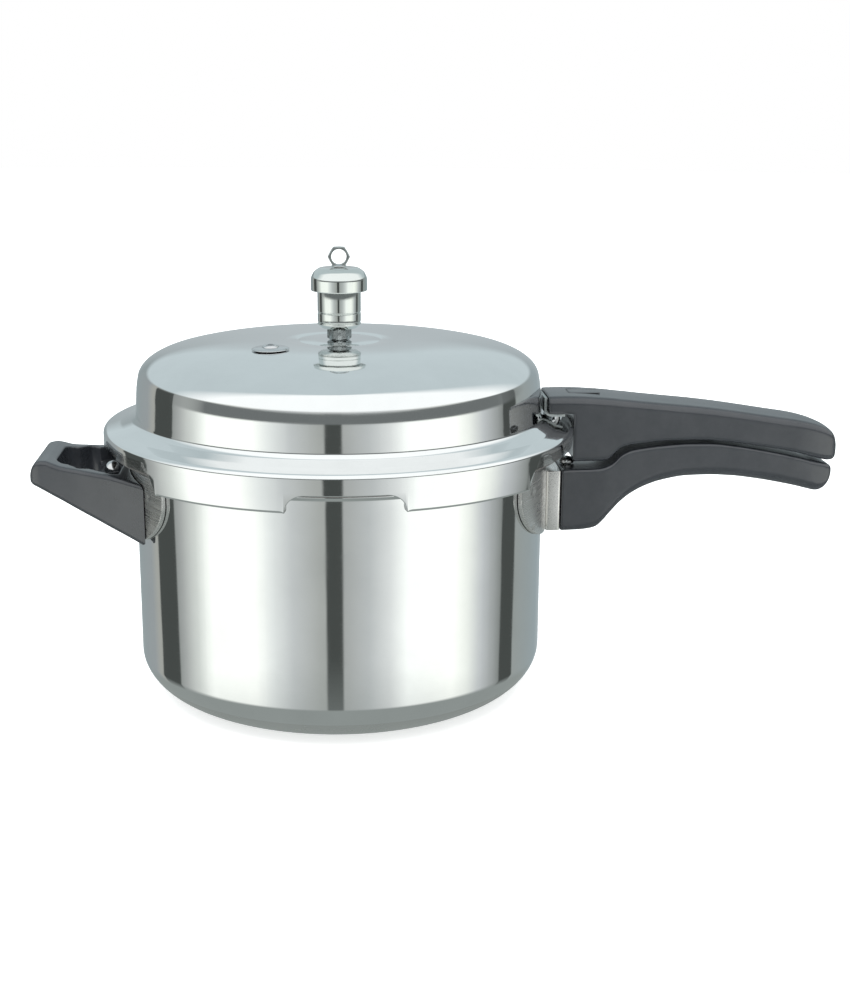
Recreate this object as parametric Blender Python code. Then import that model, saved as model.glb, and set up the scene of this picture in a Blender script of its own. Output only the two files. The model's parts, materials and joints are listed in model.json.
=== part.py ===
"""Stovetop pressure cooker with an outer bayonet lid, a jiggler weight and two bakelite grips.

Frame: origin on the pot's axis at the middle of its base, +Z up, the long handle along +X,
the short loop handle along -X.  Rest pose: lid locked, weight seated on the vent pipe.
"""
import bpy
import bmesh
from math import sin, cos, acos, pi, radians, degrees, sqrt, hypot
from mathutils import Matrix, Vector

for old in list(bpy.data.objects):
    bpy.data.objects.remove(old, do_unlink=True)

MM = 0.001

# ---------------------------------------------------------------- driving sizes, millimetres
GAP = 0.3                     # gap kept between pieces that rest on each other

POT_R = 110.0                 # outside of the pot wall
POT_WALL = 3.2
POT_FLOOR = 3.6
BASE_CORNER_R = 31.9          # the corner is an ellipse: reach along the floor ...
BASE_CORNER_Z = 23.2          # ... and up the wall
RIM_BOTTOM = 130.8
RIM_TOP = 134.2
RIM_R = 112.5                 # rolled rim between the lugs
POT_LUG_R = 121.2
POT_LUG_HALF = 11.5           # degrees
LUG_CENTRES = (60.0, 120.0, 240.0, 300.0)

LID_TOP = 190.3
LID_SHEET = 2.7
CROWN_R, CROWN_POWER = 90.0, 4.64  # the top stays nearly flat and bends down to meet the shoulder here
DOME_R = 107.5
SHOULDER_R, SHOULDER_Z = 32.0, 15.4
SHOULDER_BASE = 171.83        # height where the shoulder becomes the side wall
NECK_R = 108.6                # the side wall flares a little on its way down to the flange
SKIRT_R = 126.0
SKIRT_BOTTOM = 127.3
LIP_R = 114.4                 # inner edge of the lid's turned-in lugs
LIP_SHEET = 2.6
ARCH_TOP = 136.0              # small arches front and back
ARCH_HALF = 13.2              # degrees at the bottom edge
ARCH_CORNER = 3.2             # degrees taken by each rounded corner
SIDE_TOP = 142.9              # big cut-outs that clear the handle brackets
SIDE_BOTTOM_A = 46.9          # degrees from the skirt's middle, at the bottom edge
SIDE_TOP_A = 51.1
VENT_HOLE_R = 4.4

PLUG_X, PLUG_Y = -36.0, -32.0
SADDLE_IN, SADDLE_OUT = POT_R + 0.35, POT_R + 2.5
SADDLE_HALF = 36.0            # degrees
SADDLE_LOW, SADDLE_HIGH = 89.0, 128.5
SCREW_X = 124.6               # upright screw of the long grip
HELPER_SCREW_X = 123.0        # and of the loop grip, on the other side
GRIP_FRONT = 119.6            # where the long grip starts
TONGUE_LOW, TONGUE_HIGH = 103.0, 105.2
HELPER_TONGUE_LOW, HELPER_TONGUE_HIGH = 107.5, 109.7

WEIGHT_R = 11.6
WEIGHT_BOTTOM = 196.8
CAP_R = 15.0
CAP_BOTTOM, CAP_TOP = 216.5, 228.8
EYE_Z = 234.3
STEPS = 48                    # facets round the big turned pieces


# ---------------------------------------------------------------- materials
def material(name, colour, metallic, roughness):
    made = bpy.data.materials.new(name)
    made.use_nodes = True
    shader = made.node_tree.nodes["Principled BSDF"]
    shader.inputs["Base Color"].default_value = (*colour, 1.0)
    shader.inputs["Metallic"].default_value = metallic
    shader.inputs["Roughness"].default_value = roughness
    return made


POLISHED = ((0.78, 0.79, 0.79), 1.0, 0.08)
SATIN = ((0.62, 0.61, 0.59), 1.0, 0.28)
STEEL = ((0.60, 0.61, 0.62), 1.0, 0.14)
CHROME = ((0.70, 0.74, 0.73), 1.0, 0.07)
BAKELITE = ((0.035, 0.038, 0.043), 0.0, 0.28)
RUBBER = ((0.09, 0.09, 0.085), 0.0, 0.7)
ALLOY = ((0.30, 0.31, 0.32), 1.0, 0.45)


# ---------------------------------------------------------------- mesh helpers
def finish(name, bm, looks, smooth=True, sharp=35.0):
    """Turns a bmesh in millimetres into a named object in metres."""
    bmesh.ops.remove_doubles(bm, verts=bm.verts, dist=1e-4)
    bmesh.ops.recalc_face_normals(bm, faces=bm.faces)
    if bm.calc_volume(signed=True) < 0:
        bmesh.ops.reverse_faces(bm, faces=bm.faces)
    bmesh.ops.scale(bm, vec=(MM, MM, MM), verts=bm.verts)
    mesh = bpy.data.meshes.new(name)
    bm.to_mesh(mesh)
    bm.free()
    if smooth:
        mesh.shade_smooth()
        mesh.set_sharp_from_angle(angle=radians(sharp))
    obj = bpy.data.objects.new(name, mesh)
    bpy.context.collection.objects.link(obj)
    if looks:
        obj.data.materials.append(material(name, *looks))
    return obj


def turned(name, section_at, angles, looks, on_axis=False):
    """A body of revolution whose section may change with the angle.

    section_at(angle) gives (r, z) points; every section has the same number of points.
    With on_axis, the first and last points lie on the axis; otherwise the section is a loop.
    """
    bm = bmesh.new()
    rings = []
    first = section_at(angles[0])
    ends = None
    if on_axis:
        ends = (bm.verts.new((0, 0, first[0][1])), bm.verts.new((0, 0, first[-1][1])))
    for a in angles:
        points = section_at(a)
        if on_axis:
            points = points[1:-1]
        t = radians(a)
        rings.append([bm.verts.new((r * cos(t), r * sin(t), z)) for r, z in points])
    count = len(rings[0])
    for i, ring in enumerate(rings):
        after = rings[(i + 1) % len(rings)]
        for j in range(count if not on_axis else count - 1):
            k = (j + 1) % count
            bm.faces.new((ring[j], ring[k], after[k], after[j]))
        if on_axis:
            bm.faces.new((ends[0], ring[0], after[0]))
            bm.faces.new((ends[1], after[-1], ring[-1]))
    if any(section_at(a) != first for a in angles):
        bmesh.ops.recalc_face_normals(bm, faces=bm.faces)
        bmesh.ops.triangulate(bm, faces=bm.faces)
    return finish(name, bm, looks)


def round_angles(steps, offset=0.0):
    return [offset + 360.0 * i / steps for i in range(steps)]


def simple_turn(name, points, looks, steps=32, on_axis=False, offset=0.0):
    return turned(name, lambda a: points, round_angles(steps, offset), looks, on_axis)


def prism(name, outline, low, high, looks, axis="Z", bevel=0.0, segments=2):
    """Extrudes a closed outline. axis Z: outline is (x, y); axis Y: (x, z); axis X: (y, z)."""
    def place(u, v, w):
        return {"Z": (u, v, w), "Y": (u, w, v), "X": (w, u, v)}[axis]
    bm = bmesh.new()
    a = [bm.verts.new(place(u, v, low)) for u, v in outline]
    b = [bm.verts.new(place(u, v, high)) for u, v in outline]
    bm.faces.new(a)
    bm.faces.new(b[::-1])
    for i in range(len(a)):
        k = (i + 1) % len(a)
        bm.faces.new((a[i], b[i], b[k], a[k]))
    bmesh.ops.recalc_face_normals(bm, faces=bm.faces)
    if bevel:
        bmesh.ops.bevel(bm, geom=list(bm.edges), offset=bevel, segments=segments, profile=0.5,
                        affect="EDGES")
    return finish(name, bm, looks)


def box(name, lo, hi, looks=None, bevel=0.0):
    return prism(name, [(lo[0], lo[1]), (hi[0], lo[1]), (hi[0], hi[1]), (lo[0], hi[1])],
                 lo[2], hi[2], looks, "Z", bevel)


def lofted(name, sections, looks):
    """Joins equal-count loops of points into one closed body with flat ends."""
    bm = bmesh.new()
    rings = [[bm.verts.new(p) for p in loop] for loop in sections]
    for one, two in zip(rings, rings[1:]):
        for i in range(len(one)):
            k = (i + 1) % len(one)
            bm.faces.new((one[i], one[k], two[k], two[i]))
    bm.faces.new(rings[0])
    bm.faces.new(rings[-1][::-1])
    bmesh.ops.recalc_face_normals(bm, faces=bm.faces)
    bmesh.ops.triangulate(bm, faces=bm.faces)
    return finish(name, bm, looks)


def cut(target, cutter):
    """Boolean difference; the cutter stays as a hidden guide."""
    cutter.hide_render = True
    cutter.display_type = "WIRE"
    step = target.modifiers.new("cut_" + cutter.name, "BOOLEAN")
    step.operation = "DIFFERENCE"
    step.solver = "EXACT"
    step.object = cutter


def arc(cx, cz, rx, rz, start, end, count):
    """Points of an elliptical arc, angles in degrees."""
    return [(cx + rx * cos(radians(start + (end - start) * i / count)),
             cz + rz * sin(radians(start + (end - start) * i / count))) for i in range(count + 1)]


def hexagon(across_flats, turn=0.0):
    r = across_flats / sqrt(3)
    return [(r * cos(radians(turn + 60 * i)), r * sin(radians(turn + 60 * i))) for i in range(6)]


def cylinder(name, x, y, r, low, high, steps=24):
    cutter = simple_turn(name, [(0, low), (r, low), (r, high), (0, high)], None, steps, True, 180.0 / steps)
    cutter.location = (x * MM, y * MM, 0)
    return cutter


def tapered(stations, x):
    """Straight interpolation in a list of (x, a, b, ...) rows."""
    for one, two in zip(stations, stations[1:]):
        if x <= two[0]:
            t = (x - one[0]) / (two[0] - one[0])
            return [p + (q - p) * t for p, q in zip(one[1:], two[1:])]
    return list(stations[-1][1:])


# ---------------------------------------------------------------- pot
def off_lug(angle):
    """Degrees from the nearest bayonet lug centre."""
    return min(abs((angle - c + 180) % 360 - 180) for c in LUG_CENTRES)


def pot_section(angle):
    lug = off_lug(angle) <= POT_LUG_HALF
    out = POT_LUG_R if lug else RIM_R
    inner = POT_R - POT_WALL
    outer_corner = arc(POT_R - BASE_CORNER_R, BASE_CORNER_Z, BASE_CORNER_R, BASE_CORNER_Z, -90, 0, 6)
    inner_corner = arc(POT_R - BASE_CORNER_R, BASE_CORNER_Z, BASE_CORNER_R - POT_WALL,
                       BASE_CORNER_Z - POT_FLOOR, 0, -90, 5)
    return ([(0, 0)] + outer_corner
            + [(POT_R, RIM_BOTTOM - 1.5), (POT_R + 0.6, RIM_BOTTOM - 0.4), (POT_R + 1.5, RIM_BOTTOM)]
            + [(out - 0.6, RIM_BOTTOM), (out, RIM_BOTTOM + 0.7), (out, RIM_TOP - 0.7), (out - 0.7, RIM_TOP)]
            + [(inner + 1.4, RIM_TOP), (inner, RIM_TOP - 1.6)]
            + inner_corner + [(0, POT_FLOOR)])


pot_angles = sorted(set(round_angles(STEPS))
                    | {(c + s * (POT_LUG_HALF + d)) % 360 for c in LUG_CENTRES for s in (-1, 1) for d in (0.0, 0.35)})
turned("pot_body", pot_section, pot_angles, POLISHED, on_axis=True)


# ---------------------------------------------------------------- brackets on the pot
def saddle(name, side, looks):
    """A curved plate spot-welded to the pot wall: a grid in angle and height, cut to its D outline."""
    bm = bmesh.new()
    corner_a, corner_z, top_a, top_z = 26.0, 28.0, 6.0, 4.5
    columns = []
    steps = 22
    for i in range(steps + 1):
        a = -SADDLE_HALF + 2 * SADDLE_HALF * i / steps
        over = max(0.0, (abs(a) - (SADDLE_HALF - corner_a)) / corner_a)
        dip = 1 - sqrt(max(0.0, 1 - over * over))
        over = max(0.0, (abs(a) - (SADDLE_HALF - top_a)) / top_a)
        top_dip = 1 - sqrt(max(0.0, 1 - over * over))
        columns.append((a, SADDLE_LOW + corner_z * dip, SADDLE_HIGH - top_z * top_dip))
    rings = []
    for a, low, high in columns:
        t = radians(a)
        loop = []
        for r, z in ((SADDLE_IN, low), (SADDLE_OUT - 0.4, low), (SADDLE_OUT, low + 0.4),
                     (SADDLE_OUT, high - 0.4), (SADDLE_OUT - 0.4, high), (SADDLE_IN, high)):
            loop.append(bm.verts.new((side * r * cos(t), r * sin(t), z)))
        rings.append(loop)
    for one, two in zip(rings, rings[1:]):
        for j in range(len(one)):
            k = (j + 1) % len(one)
            bm.faces.new((one[j], one[k], two[k], two[j]))
    bm.faces.new(rings[0])
    bm.faces.new(rings[-1][::-1])
    return finish(name, bm, looks)


def join(target, other):
    """Boolean union; the second body stays as a hidden guide."""
    other.hide_render = True
    other.display_type = "WIRE"
    step = target.modifiers.new("join_" + other.name, "BOOLEAN")
    step.operation = "UNION"
    step.solver = "EXACT"
    step.object = other


def channel_plan(side, root, front, half, radius, steps=4):
    """Plan outline (x, y) of the pressed box that stands off the saddle, with rounded outer corners."""
    points = [(side * root, -half), ]
    for i in range(steps + 1):
        t = radians(-90 + 90 * i / steps)
        points.append((side * (front - radius + radius * cos(t)), -half + radius + radius * sin(t)))
    for i in range(steps + 1):
        t = radians(90 * i / steps)
        points.append((side * (front - radius + radius * cos(t)), half - radius + radius * sin(t)))
    points.append((side * root, half))
    return points


main_bracket = saddle("main_bracket", 1, SATIN)
main_box = prism("main_bracket_box", channel_plan(1, 111.2, GRIP_FRONT - GAP, 17.4, 1.6), 87.2, 120.4, None)
join(main_bracket, main_box)
main_tongue = box("main_bracket_tongue", (117.0, -10.0, TONGUE_LOW), (133.0, 10.0, TONGUE_HIGH))
join(main_bracket, main_tongue)
cut(main_bracket, cylinder("main_bracket_hole", SCREW_X, 0, 2.6, TONGUE_LOW - 3, TONGUE_HIGH + 3, 16))

helper_bracket = saddle("helper_bracket", -1, SATIN)
helper_tongue = box("helper_bracket_tongue", (-129.5, -10.0, HELPER_TONGUE_LOW), (-111.4, 10.0, HELPER_TONGUE_HIGH))
join(helper_bracket, helper_tongue)
cut(helper_bracket, cylinder("helper_bracket_hole", -HELPER_SCREW_X, 0, 2.6, HELPER_TONGUE_LOW - 3,
                             HELPER_TONGUE_HIGH + 3, 16))


# ---------------------------------------------------------------- long grips
def grip_loop(x, low, high, half, top_r, low_r, crown=0.0, steps=3):
    """Cross-section of a grip at x: rounded rectangle in y and z with a slightly crowned top."""
    points = []
    for cy, cz, r, start in ((half - low_r, low + low_r, low_r, -90), (half - top_r, high - top_r, top_r, 0)):
        for i in range(steps + 1):
            t = radians(start + 90 * i / steps)
            points.append((cy + r * cos(t), cz + r * sin(t)))
    points.append((0.0, high + crown))
    mirror = [(-y, z) for y, z in points[:-1]][::-1]
    return [(x, y, z) for y, z in points + mirror]


# x, bottom, top, half width, top corner, bottom corner
LOWER_GRIP = (
    (GRIP_FRONT, 86.4, 120.9, 17.4, 1.2, 3.0), (130.0, 86.5, 121.1, 17.4, 1.2, 4.0),
    (136.5, 87.0, 121.2, 17.4, 1.2, 5.0), (140.0, 88.0, 121.4, 17.4, 1.2, 5.5), (142.6, 90.2, 121.9, 17.4, 1.2, 6.0),
    (147.3, 95.6, 124.0, 17.2, 1.2, 6.0), (152.6, 101.4, 129.0, 17.0, 1.3, 6.0), (158.0, 105.8, 131.4, 16.8, 1.4, 6.0),
    (165.0, 109.7, 132.6, 16.5, 1.5, 6.0), (175.0, 113.2, 133.7, 16.2, 1.5, 6.0), (190.0, 115.7, 134.6, 16.0, 1.5, 6.0),
    (202.0, 116.0, 134.5, 16.0, 1.5, 6.0), (214.0, 115.4, 133.2, 15.9, 1.5, 6.0), (228.0, 113.6, 130.9, 15.7, 1.5, 6.0),
    (241.0, 111.2, 128.3, 15.4, 1.5, 6.0), (253.0, 108.5, 125.5, 14.8, 1.6, 6.0), (258.5, 107.0, 124.0, 14.4, 2.0, 6.0),
    (263.5, 106.0, 122.9, 13.6, 2.2, 5.5), (267.5, 107.4, 121.9, 12.6, 2.4, 5.0), (270.0, 110.8, 120.8, 11.6, 2.4, 3.6),
    (271.3, 114.2, 119.6, 10.0, 2.0, 2.4),
)
lower_handle = lofted("lower_handle", [grip_loop(*row) for row in LOWER_GRIP], BAKELITE)
cut(lower_handle, box("lower_slot", (GRIP_FRONT - 2, -10.4, TONGUE_LOW - 0.4), (133.5, 10.4, TONGUE_HIGH + 0.4)))
cut(lower_handle, cylinder("lower_nut_pocket", SCREW_X, 0, 4.6, 80.0, 93.9, 18))
cut(lower_handle, cylinder("lower_bore", SCREW_X, 0, 2.6, 92.0, 125.0, 16))

# x, bottom, top, half width, top corner, bottom corner
UPPER_GRIP = (
    (111.7, 125.4, 161.0, 17.2, 7.5, 2.0), (120.0, 125.4, 161.2, 17.3, 7.6, 2.0), (130.0, 125.4, 161.0, 17.4, 7.8, 2.5),
    (141.0, 125.5, 160.3, 17.4, 8.0, 3.0), (145.0, 126.0, 160.0, 17.4, 8.0, 3.0), (148.0, 129.0, 159.7, 17.4, 8.0, 3.0),
    (152.0, 132.6, 159.2, 17.4, 8.0, 2.6), (157.0, 134.2, 158.7, 17.3, 8.0, 2.2), (165.0, 135.2, 157.8, 17.1, 8.0, 2.0),
    (178.0, 136.3, 156.5, 16.9, 8.0, 2.0), (195.0, 136.6, 154.8, 16.7, 8.0, 2.0), (210.0, 135.4, 152.9, 16.6, 8.0, 2.0),
    (224.0, 133.5, 150.8, 16.5, 8.0, 2.0), (238.0, 131.2, 148.6, 16.3, 8.0, 2.0), (251.0, 128.4, 146.6, 16.0, 8.0, 2.4),
    (258.5, 126.2, 144.9, 15.3, 8.0, 3.0), (265.0, 124.2, 142.7, 14.2, 7.8, 3.6), (269.6, 123.3, 140.2, 12.8, 7.2, 4.0),
    (272.4, 123.6, 137.0, 10.8, 5.6, 3.6), (273.6, 125.0, 133.4, 8.6, 3.2, 2.6),
)
LID_GRIP_FLOOR = 151.8
upper_handle = lofted("upper_handle", [grip_loop(*row, crown=0.5) for row in UPPER_GRIP], BAKELITE)
cut(upper_handle, cylinder("rim_clearance", 0, 0, SKIRT_R + 0.45, 118.0, LID_GRIP_FLOOR, 144))
cut(upper_handle, box("rivet_pocket", (109.0, -13.5, 148.0), (121.8, 13.5, 154.6)))
upper_bore = simple_turn("upper_bore", [(0, -24), (2.3, -24), (2.3, 3), (0, 3)], None, 20, True)
upper_bore.rotation_euler = (0, -pi / 2, 0)
upper_bore.location = (108.0 * MM, 0, 156.6 * MM)
cut(upper_handle, upper_bore)
cut(upper_handle, box("badge_recess", (124.0, -6.2, 160.4), (141.5, 6.2, 164.0)))
badge = box("handle_badge", (124.4, -5.8, 160.75), (141.1, 5.8, 161.35), BAKELITE)


# ---------------------------------------------------------------- screws, nuts, rivets
def dome_screw(name, x, seat, dome_r, dome_h, shank_r, tip, looks):
    """Upright screw with a domed head, its shank running down to tip."""
    head = [(dome_r * cos(radians(t)), seat + 0.8 + (dome_h - 0.8) * sin(radians(t))) for t in range(0, 90, 15)]
    profile = [(0, tip), (shank_r - 0.4, tip), (shank_r, tip + 0.5), (shank_r, seat), (dome_r, seat)] + head \
        + [(0, seat + dome_h)]
    screw = simple_turn(name, profile, looks, 16, True)
    screw.location = (x * MM, 0, 0)
    return screw


def nut(name, x, y, low, high, flats, bore, looks, turn=0.0):
    outer = hexagon(flats, turn)
    bm = bmesh.new()
    sides = 24
    inner = [(bore * cos(2 * pi * i / sides), bore * sin(2 * pi * i / sides)) for i in range(sides)]
    rim = []
    for i in range(sides):
        t = 2 * pi * i / sides
        d = radians(turn) + pi / 6
        within = (t - d) % (pi / 3)
        within = min(within, pi / 3 - within)
        r = flats / 2 / cos(within)
        rim.append((r * cos(t), r * sin(t)))
    loops = []
    for shape, z, k in ((rim, low + 0.5, 1.0), (rim, high - 0.5, 1.0), (rim, high, 0.94),
                        (inner, high, 1.0), (inner, low, 1.0), (rim, low, 0.94)):
        loops.append([bm.verts.new((px * k, py * k, z)) for px, py in shape])
    for one, two in zip(loops, loops[1:] + loops[:1]):
        for i in range(sides):
            k = (i + 1) % sides
            bm.faces.new((one[i], one[k], two[k], two[i]))
    made = finish(name, bm, looks, sharp=25)
    made.location = (x * MM, y * MM, 0)
    return made


dome_screw("lower_handle_screw", SCREW_X, 121.5, 4.3, 3.6, 2.2, 87.2, STEEL)
nut("lower_handle_nut", SCREW_X, 0, 88.4, 93.6, 7.0, 2.5, STEEL)


# ---------------------------------------------------------------- short loop handle
# x, bottom, top of the side walls, half width at that x
HELPER = (
    (-163.6, 118.6, 123.2, 20.5), (-162.2, 117.6, 127.0, 23.5), (-159.0, 116.2, 130.6, 25.2), (-155.2, 114.3, 131.0, 26.2),
    (-151.5, 112.4, 130.0, 27.2), (-147.0, 110.2, 128.6, 28.5), (-140.0, 106.6, 127.7, 30.6), (-133.0, 103.2, 126.9, 33.0),
    (-127.0, 100.5, 126.3, 35.4), (-121.0, 97.7, 125.8, 38.0), (-115.0, 95.2, 124.9, 41.0), (-109.0, 92.8, 123.9, 44.4),
    (-103.0, 90.4, 123.1, 48.2), (-99.0, 89.0, 122.7, 51.0),
)


def helper_loop(x, low, high, half):
    top, bottom = min(2.2, (high - low) * 0.3), min(2.6, (high - low) * 0.3)
    return grip_loop(x, low, high, half, top, bottom)


helper_handle = lofted("helper_handle", [helper_loop(*row) for row in HELPER], BAKELITE)
cut(helper_handle, cylinder("pot_clearance", 0, 0, SADDLE_OUT + 0.4, 80.0, 140.0, 144))


def opening_plan(x0, x1, wall, radius, steps=4):
    """Rounded trapezium in plan that follows the flare of the side walls."""
    w0 = tapered(HELPER, x0)[2] - wall
    w1 = tapered(HELPER, x1)[2] - wall
    points = []
    for cx, cy, start in ((x1 - radius, w1 - radius, 0), (x0 + radius, w0 - radius, 90),
                          (x0 + radius, -w0 + radius, 180), (x1 - radius, -w1 + radius, 270)):
        for i in range(steps + 1):
            t = radians(start + 90 * i / steps)
            points.append((cx + radius * cos(t), cy + radius * sin(t)))
    return points


cut(helper_handle, prism("finger_opening", opening_plan(-150.2, -130.5, 7.4, 7.0), 80.0, 140.0, None))
cut(helper_handle, prism("screw_recess", opening_plan(-132.0, -116.2, 9.5, 4.0), 118.3, 140.0, None))
cut(helper_handle, box("helper_slot", (-130.0, -10.4, HELPER_TONGUE_LOW - 0.4), (-110.0, 10.4, HELPER_TONGUE_HIGH + 0.4)))
cut(helper_handle, cylinder("helper_nut_pocket", -HELPER_SCREW_X, 0, 5.2, 80.0, 105.0, 18))
cut(helper_handle, cylinder("helper_bore", -HELPER_SCREW_X, 0, 2.6, 103.0, 122.0, 18))
dome_screw("helper_handle_screw", -HELPER_SCREW_X, 118.7, 4.4, 6.2, 2.2, 99.8, STEEL)
nut("helper_handle_nut", -HELPER_SCREW_X, 0, 100.6, 104.6, 7.6, 2.5, STEEL, 8.0)


# ---------------------------------------------------------------- gasket
simple_turn("gasket", [(109.2, 134.6), (121.9, 134.6), (122.7, 135.4), (122.7, 140.6), (121.3, 142.0),
                       (110.2, 142.0), (108.4, 140.2), (108.4, 135.4)], RUBBER, STEPS)


# ---------------------------------------------------------------- lid
def shoulder_z(r, sheet=0.0):
    """Height of the elliptical shoulder at radius r."""
    over = (r - (DOME_R - SHOULDER_R)) / (SHOULDER_R - sheet)
    return SHOULDER_BASE + (SHOULDER_Z - sheet) * sqrt(1 - over * over)


def lid_z(r):
    """Outer height of the flat top at radius r."""
    return LID_TOP - (LID_TOP - shoulder_z(CROWN_R)) * (r / CROWN_R) ** CROWN_POWER


def skirt_edge(angle):
    """Height of the skirt's bottom edge, and whether the turned-in lip is there."""
    a = abs(abs((angle + 180) % 360 - 180) - 90)      # degrees from the nearer of +Y and -Y
    if a < ARCH_HALF:
        over = max(0.0, (a - (ARCH_HALF - ARCH_CORNER)) / ARCH_CORNER)
        return ARCH_TOP - (ARCH_TOP - SKIRT_BOTTOM) * (1 - sqrt(max(0.0, 1 - over * over))), False
    if a <= SIDE_BOTTOM_A:
        return SKIRT_BOTTOM, True
    if a < SIDE_TOP_A:
        t = (a - SIDE_BOTTOM_A) / (SIDE_TOP_A - SIDE_BOTTOM_A)
        return SKIRT_BOTTOM + (SIDE_TOP - SKIRT_BOTTOM) * t ** 0.8, False
    return SIDE_TOP, False


def lid_section(angle):
    edge, lip = skirt_edge(angle)
    t = LID_SHEET
    flat = DOME_R - SHOULDER_R
    crown = [(r, lid_z(r)) for r in (VENT_HOLE_R, 40.0, 58.0, 70.0, 81.0)]
    start = degrees(acos((CROWN_R - flat) / SHOULDER_R))
    shoulder = arc(flat, SHOULDER_BASE, SHOULDER_R, SHOULDER_Z, start, 0, 6)
    neck = [(107.8, 167.0), (108.1, 162.0), (NECK_R, 155.5), (109.1, 152.8), (110.3, 150.7), (112.5, 149.2)]
    flange = [(116.2, 147.8), (121.5, 146.9), (124.2, 146.1), (125.5, 145.0), (SKIRT_R, 143.8)]
    bottom = [(SKIRT_R, edge + 0.5 if not lip else edge + 1.4), (SKIRT_R - 0.5 if not lip else SKIRT_R - 1.5, edge)]
    inside = SKIRT_R - t
    if lip:
        lug = [(LIP_R, edge), (LIP_R, edge + LIP_SHEET), (inside - 0.8, edge + LIP_SHEET), (inside, edge + LIP_SHEET + 0.9)]
    else:
        lug = [(inside + 1.4, edge), (inside + 0.8, edge), (inside + 0.3, edge), (inside, edge + 0.35)]
    # under the highest cut-outs the skirt ends close to the flange, so the inner corner stays above it
    under_flange = [(inside, 143.45), (inside - 1.4, 144.2), (115.5, 145.0), (110.9, 146.9), (107.6, 149.6)]
    inner_neck = [(NECK_R - t, 153.5), (105.3, 162.0)]
    end = degrees(acos((CROWN_R - 2.0 - flat) / (SHOULDER_R - t)))
    inner = arc(flat, SHOULDER_BASE, SHOULDER_R - t, SHOULDER_Z - t, -10, end, 6)
    inner_crown = [(r, lid_z(r) - t) for r in (79.0, 70.0, 58.0, 40.0, VENT_HOLE_R)]
    return crown + shoulder + neck + flange + bottom + lug + under_flange + inner_neck + inner + inner_crown


edge_angles = set()
for middle in (90.0, 270.0):
    for s in (-1, 1):
        for a in (ARCH_HALF - ARCH_CORNER, ARCH_HALF - ARCH_CORNER * 0.4, ARCH_HALF - 0.01, ARCH_HALF + 0.25,
                  SIDE_BOTTOM_A, SIDE_BOTTOM_A + 0.25, SIDE_TOP_A):
            edge_angles.add(round((middle + s * a) % 360, 4))
plain_angles = {a for a in round_angles(STEPS) if all(abs((a - e + 180) % 360 - 180) > 0.8 for e in edge_angles)}
lid = turned("lid_shell", lid_section, sorted(plain_angles | edge_angles), POLISHED)

plug_r = hypot(PLUG_X, PLUG_Y)
tilt = Matrix.Rotation(CROWN_POWER * (LID_TOP - lid_z(plug_r)) / plug_r, 4,
                       Vector((0, 0, 1)).cross(Vector((PLUG_X, PLUG_Y, 0))).normalized())
plug_frame = Matrix.Translation(Vector((PLUG_X, PLUG_Y, lid_z(plug_r))) * MM) @ tilt


def on_plug(obj):
    obj.matrix_world = plug_frame
    return obj


cut(lid, on_plug(simple_turn("plug_hole", [(0, -8), (5.9, -8), (5.9, 6), (0, 6)], None, 24, True)))
on_plug(simple_turn("safety_plug_body", [(2.2, 2.6), (3.6, 2.6), (4.3, 2.0), (4.3, 1.4), (9.0, 1.2), (9.7, 0.8), (9.7, 0.4),
                                         (5.5, 0.4), (5.5, -9.6), (2.2, -9.6)], STEEL, 24))
on_plug(simple_turn("safety_plug_alloy", [(0, -9.2), (1.85, -9.2), (1.85, 2.3), (1.2, 2.9), (0, 3.1)], ALLOY, 12, True))
on_plug(nut("safety_plug_nut", 0, 0, -8.4, -3.2, 15.0, 5.85, STEEL, 10))

RIVET_X, RIVET_Y = 117.0, 9.0
for side, tag in ((1, "left"), (-1, "right")):
    cut(lid, cylinder("flange_hole_" + tag, RIVET_X, side * RIVET_Y, 2.4, 138.0, 152.0, 12))

# L-shaped bracket: foot on the flange, leg up the front of the grip
leg_profile = [(112.4, 149.7), (121.0, 149.7), (121.0, 151.4), (113.2, 151.4), (111.3, 153.6), (111.3, 160.2),
               (109.6, 160.2), (109.6, 153.0)]
lid_bracket = prism("lid_bracket", leg_profile, -13.1, 13.1, SATIN, axis="Y")
for side, tag in ((1, "left"), (-1, "right")):
    cut(lid_bracket, cylinder("foot_hole_" + tag, RIVET_X, side * RIVET_Y, 2.4, 146.0, 154.0, 12))
leg_hole = simple_turn("leg_hole", [(0, -6), (2.4, -6), (2.4, -1.5), (4.6, 0.7), (4.6, 3), (0, 3)], None, 20, True)
leg_hole.rotation_euler = (0, -pi / 2, 0)
leg_hole.location = (110.0 * MM, 0, 156.6 * MM)
cut(lid_bracket, leg_hole)

for side, tag in ((1, "left"), (-1, "right")):
    rivet = simple_turn("lid_bracket_rivet_" + tag, [
        (0, 142.9), (2.6, 142.9), (3.3, 143.3), (3.3, 144.0), (2.0, 144.0), (2.0, 151.7), (3.5, 151.7), (3.3, 152.5),
        (2.2, 153.3), (0, 153.6)], STEEL, 12, True)
    rivet.location = (RIVET_X * MM, side * RIVET_Y * MM, 0)

# countersunk, because there is no room for a head between the leg and the lid's side wall
grip_screw = simple_turn("upper_handle_screw", [(0, -21.4), (1.6, -21.4), (2.0, -20.6), (2.0, -1.5), (3.85, 0.35), (0, 0.35)],
                         STEEL, 14, True)
grip_screw.rotation_euler = (0, -pi / 2, 0)
grip_screw.location = (110.0 * MM, 0, 156.6 * MM)


# ---------------------------------------------------------------- vent pipe
VENT_TOP = 211.6
VENT_HEX = 196.4                # top of the hexagon


def hex_reach(angle, flats):
    within = (angle - 30.0) % 60.0
    within = min(within, 60.0 - within)
    return flats / 2 / cos(radians(within))


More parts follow.
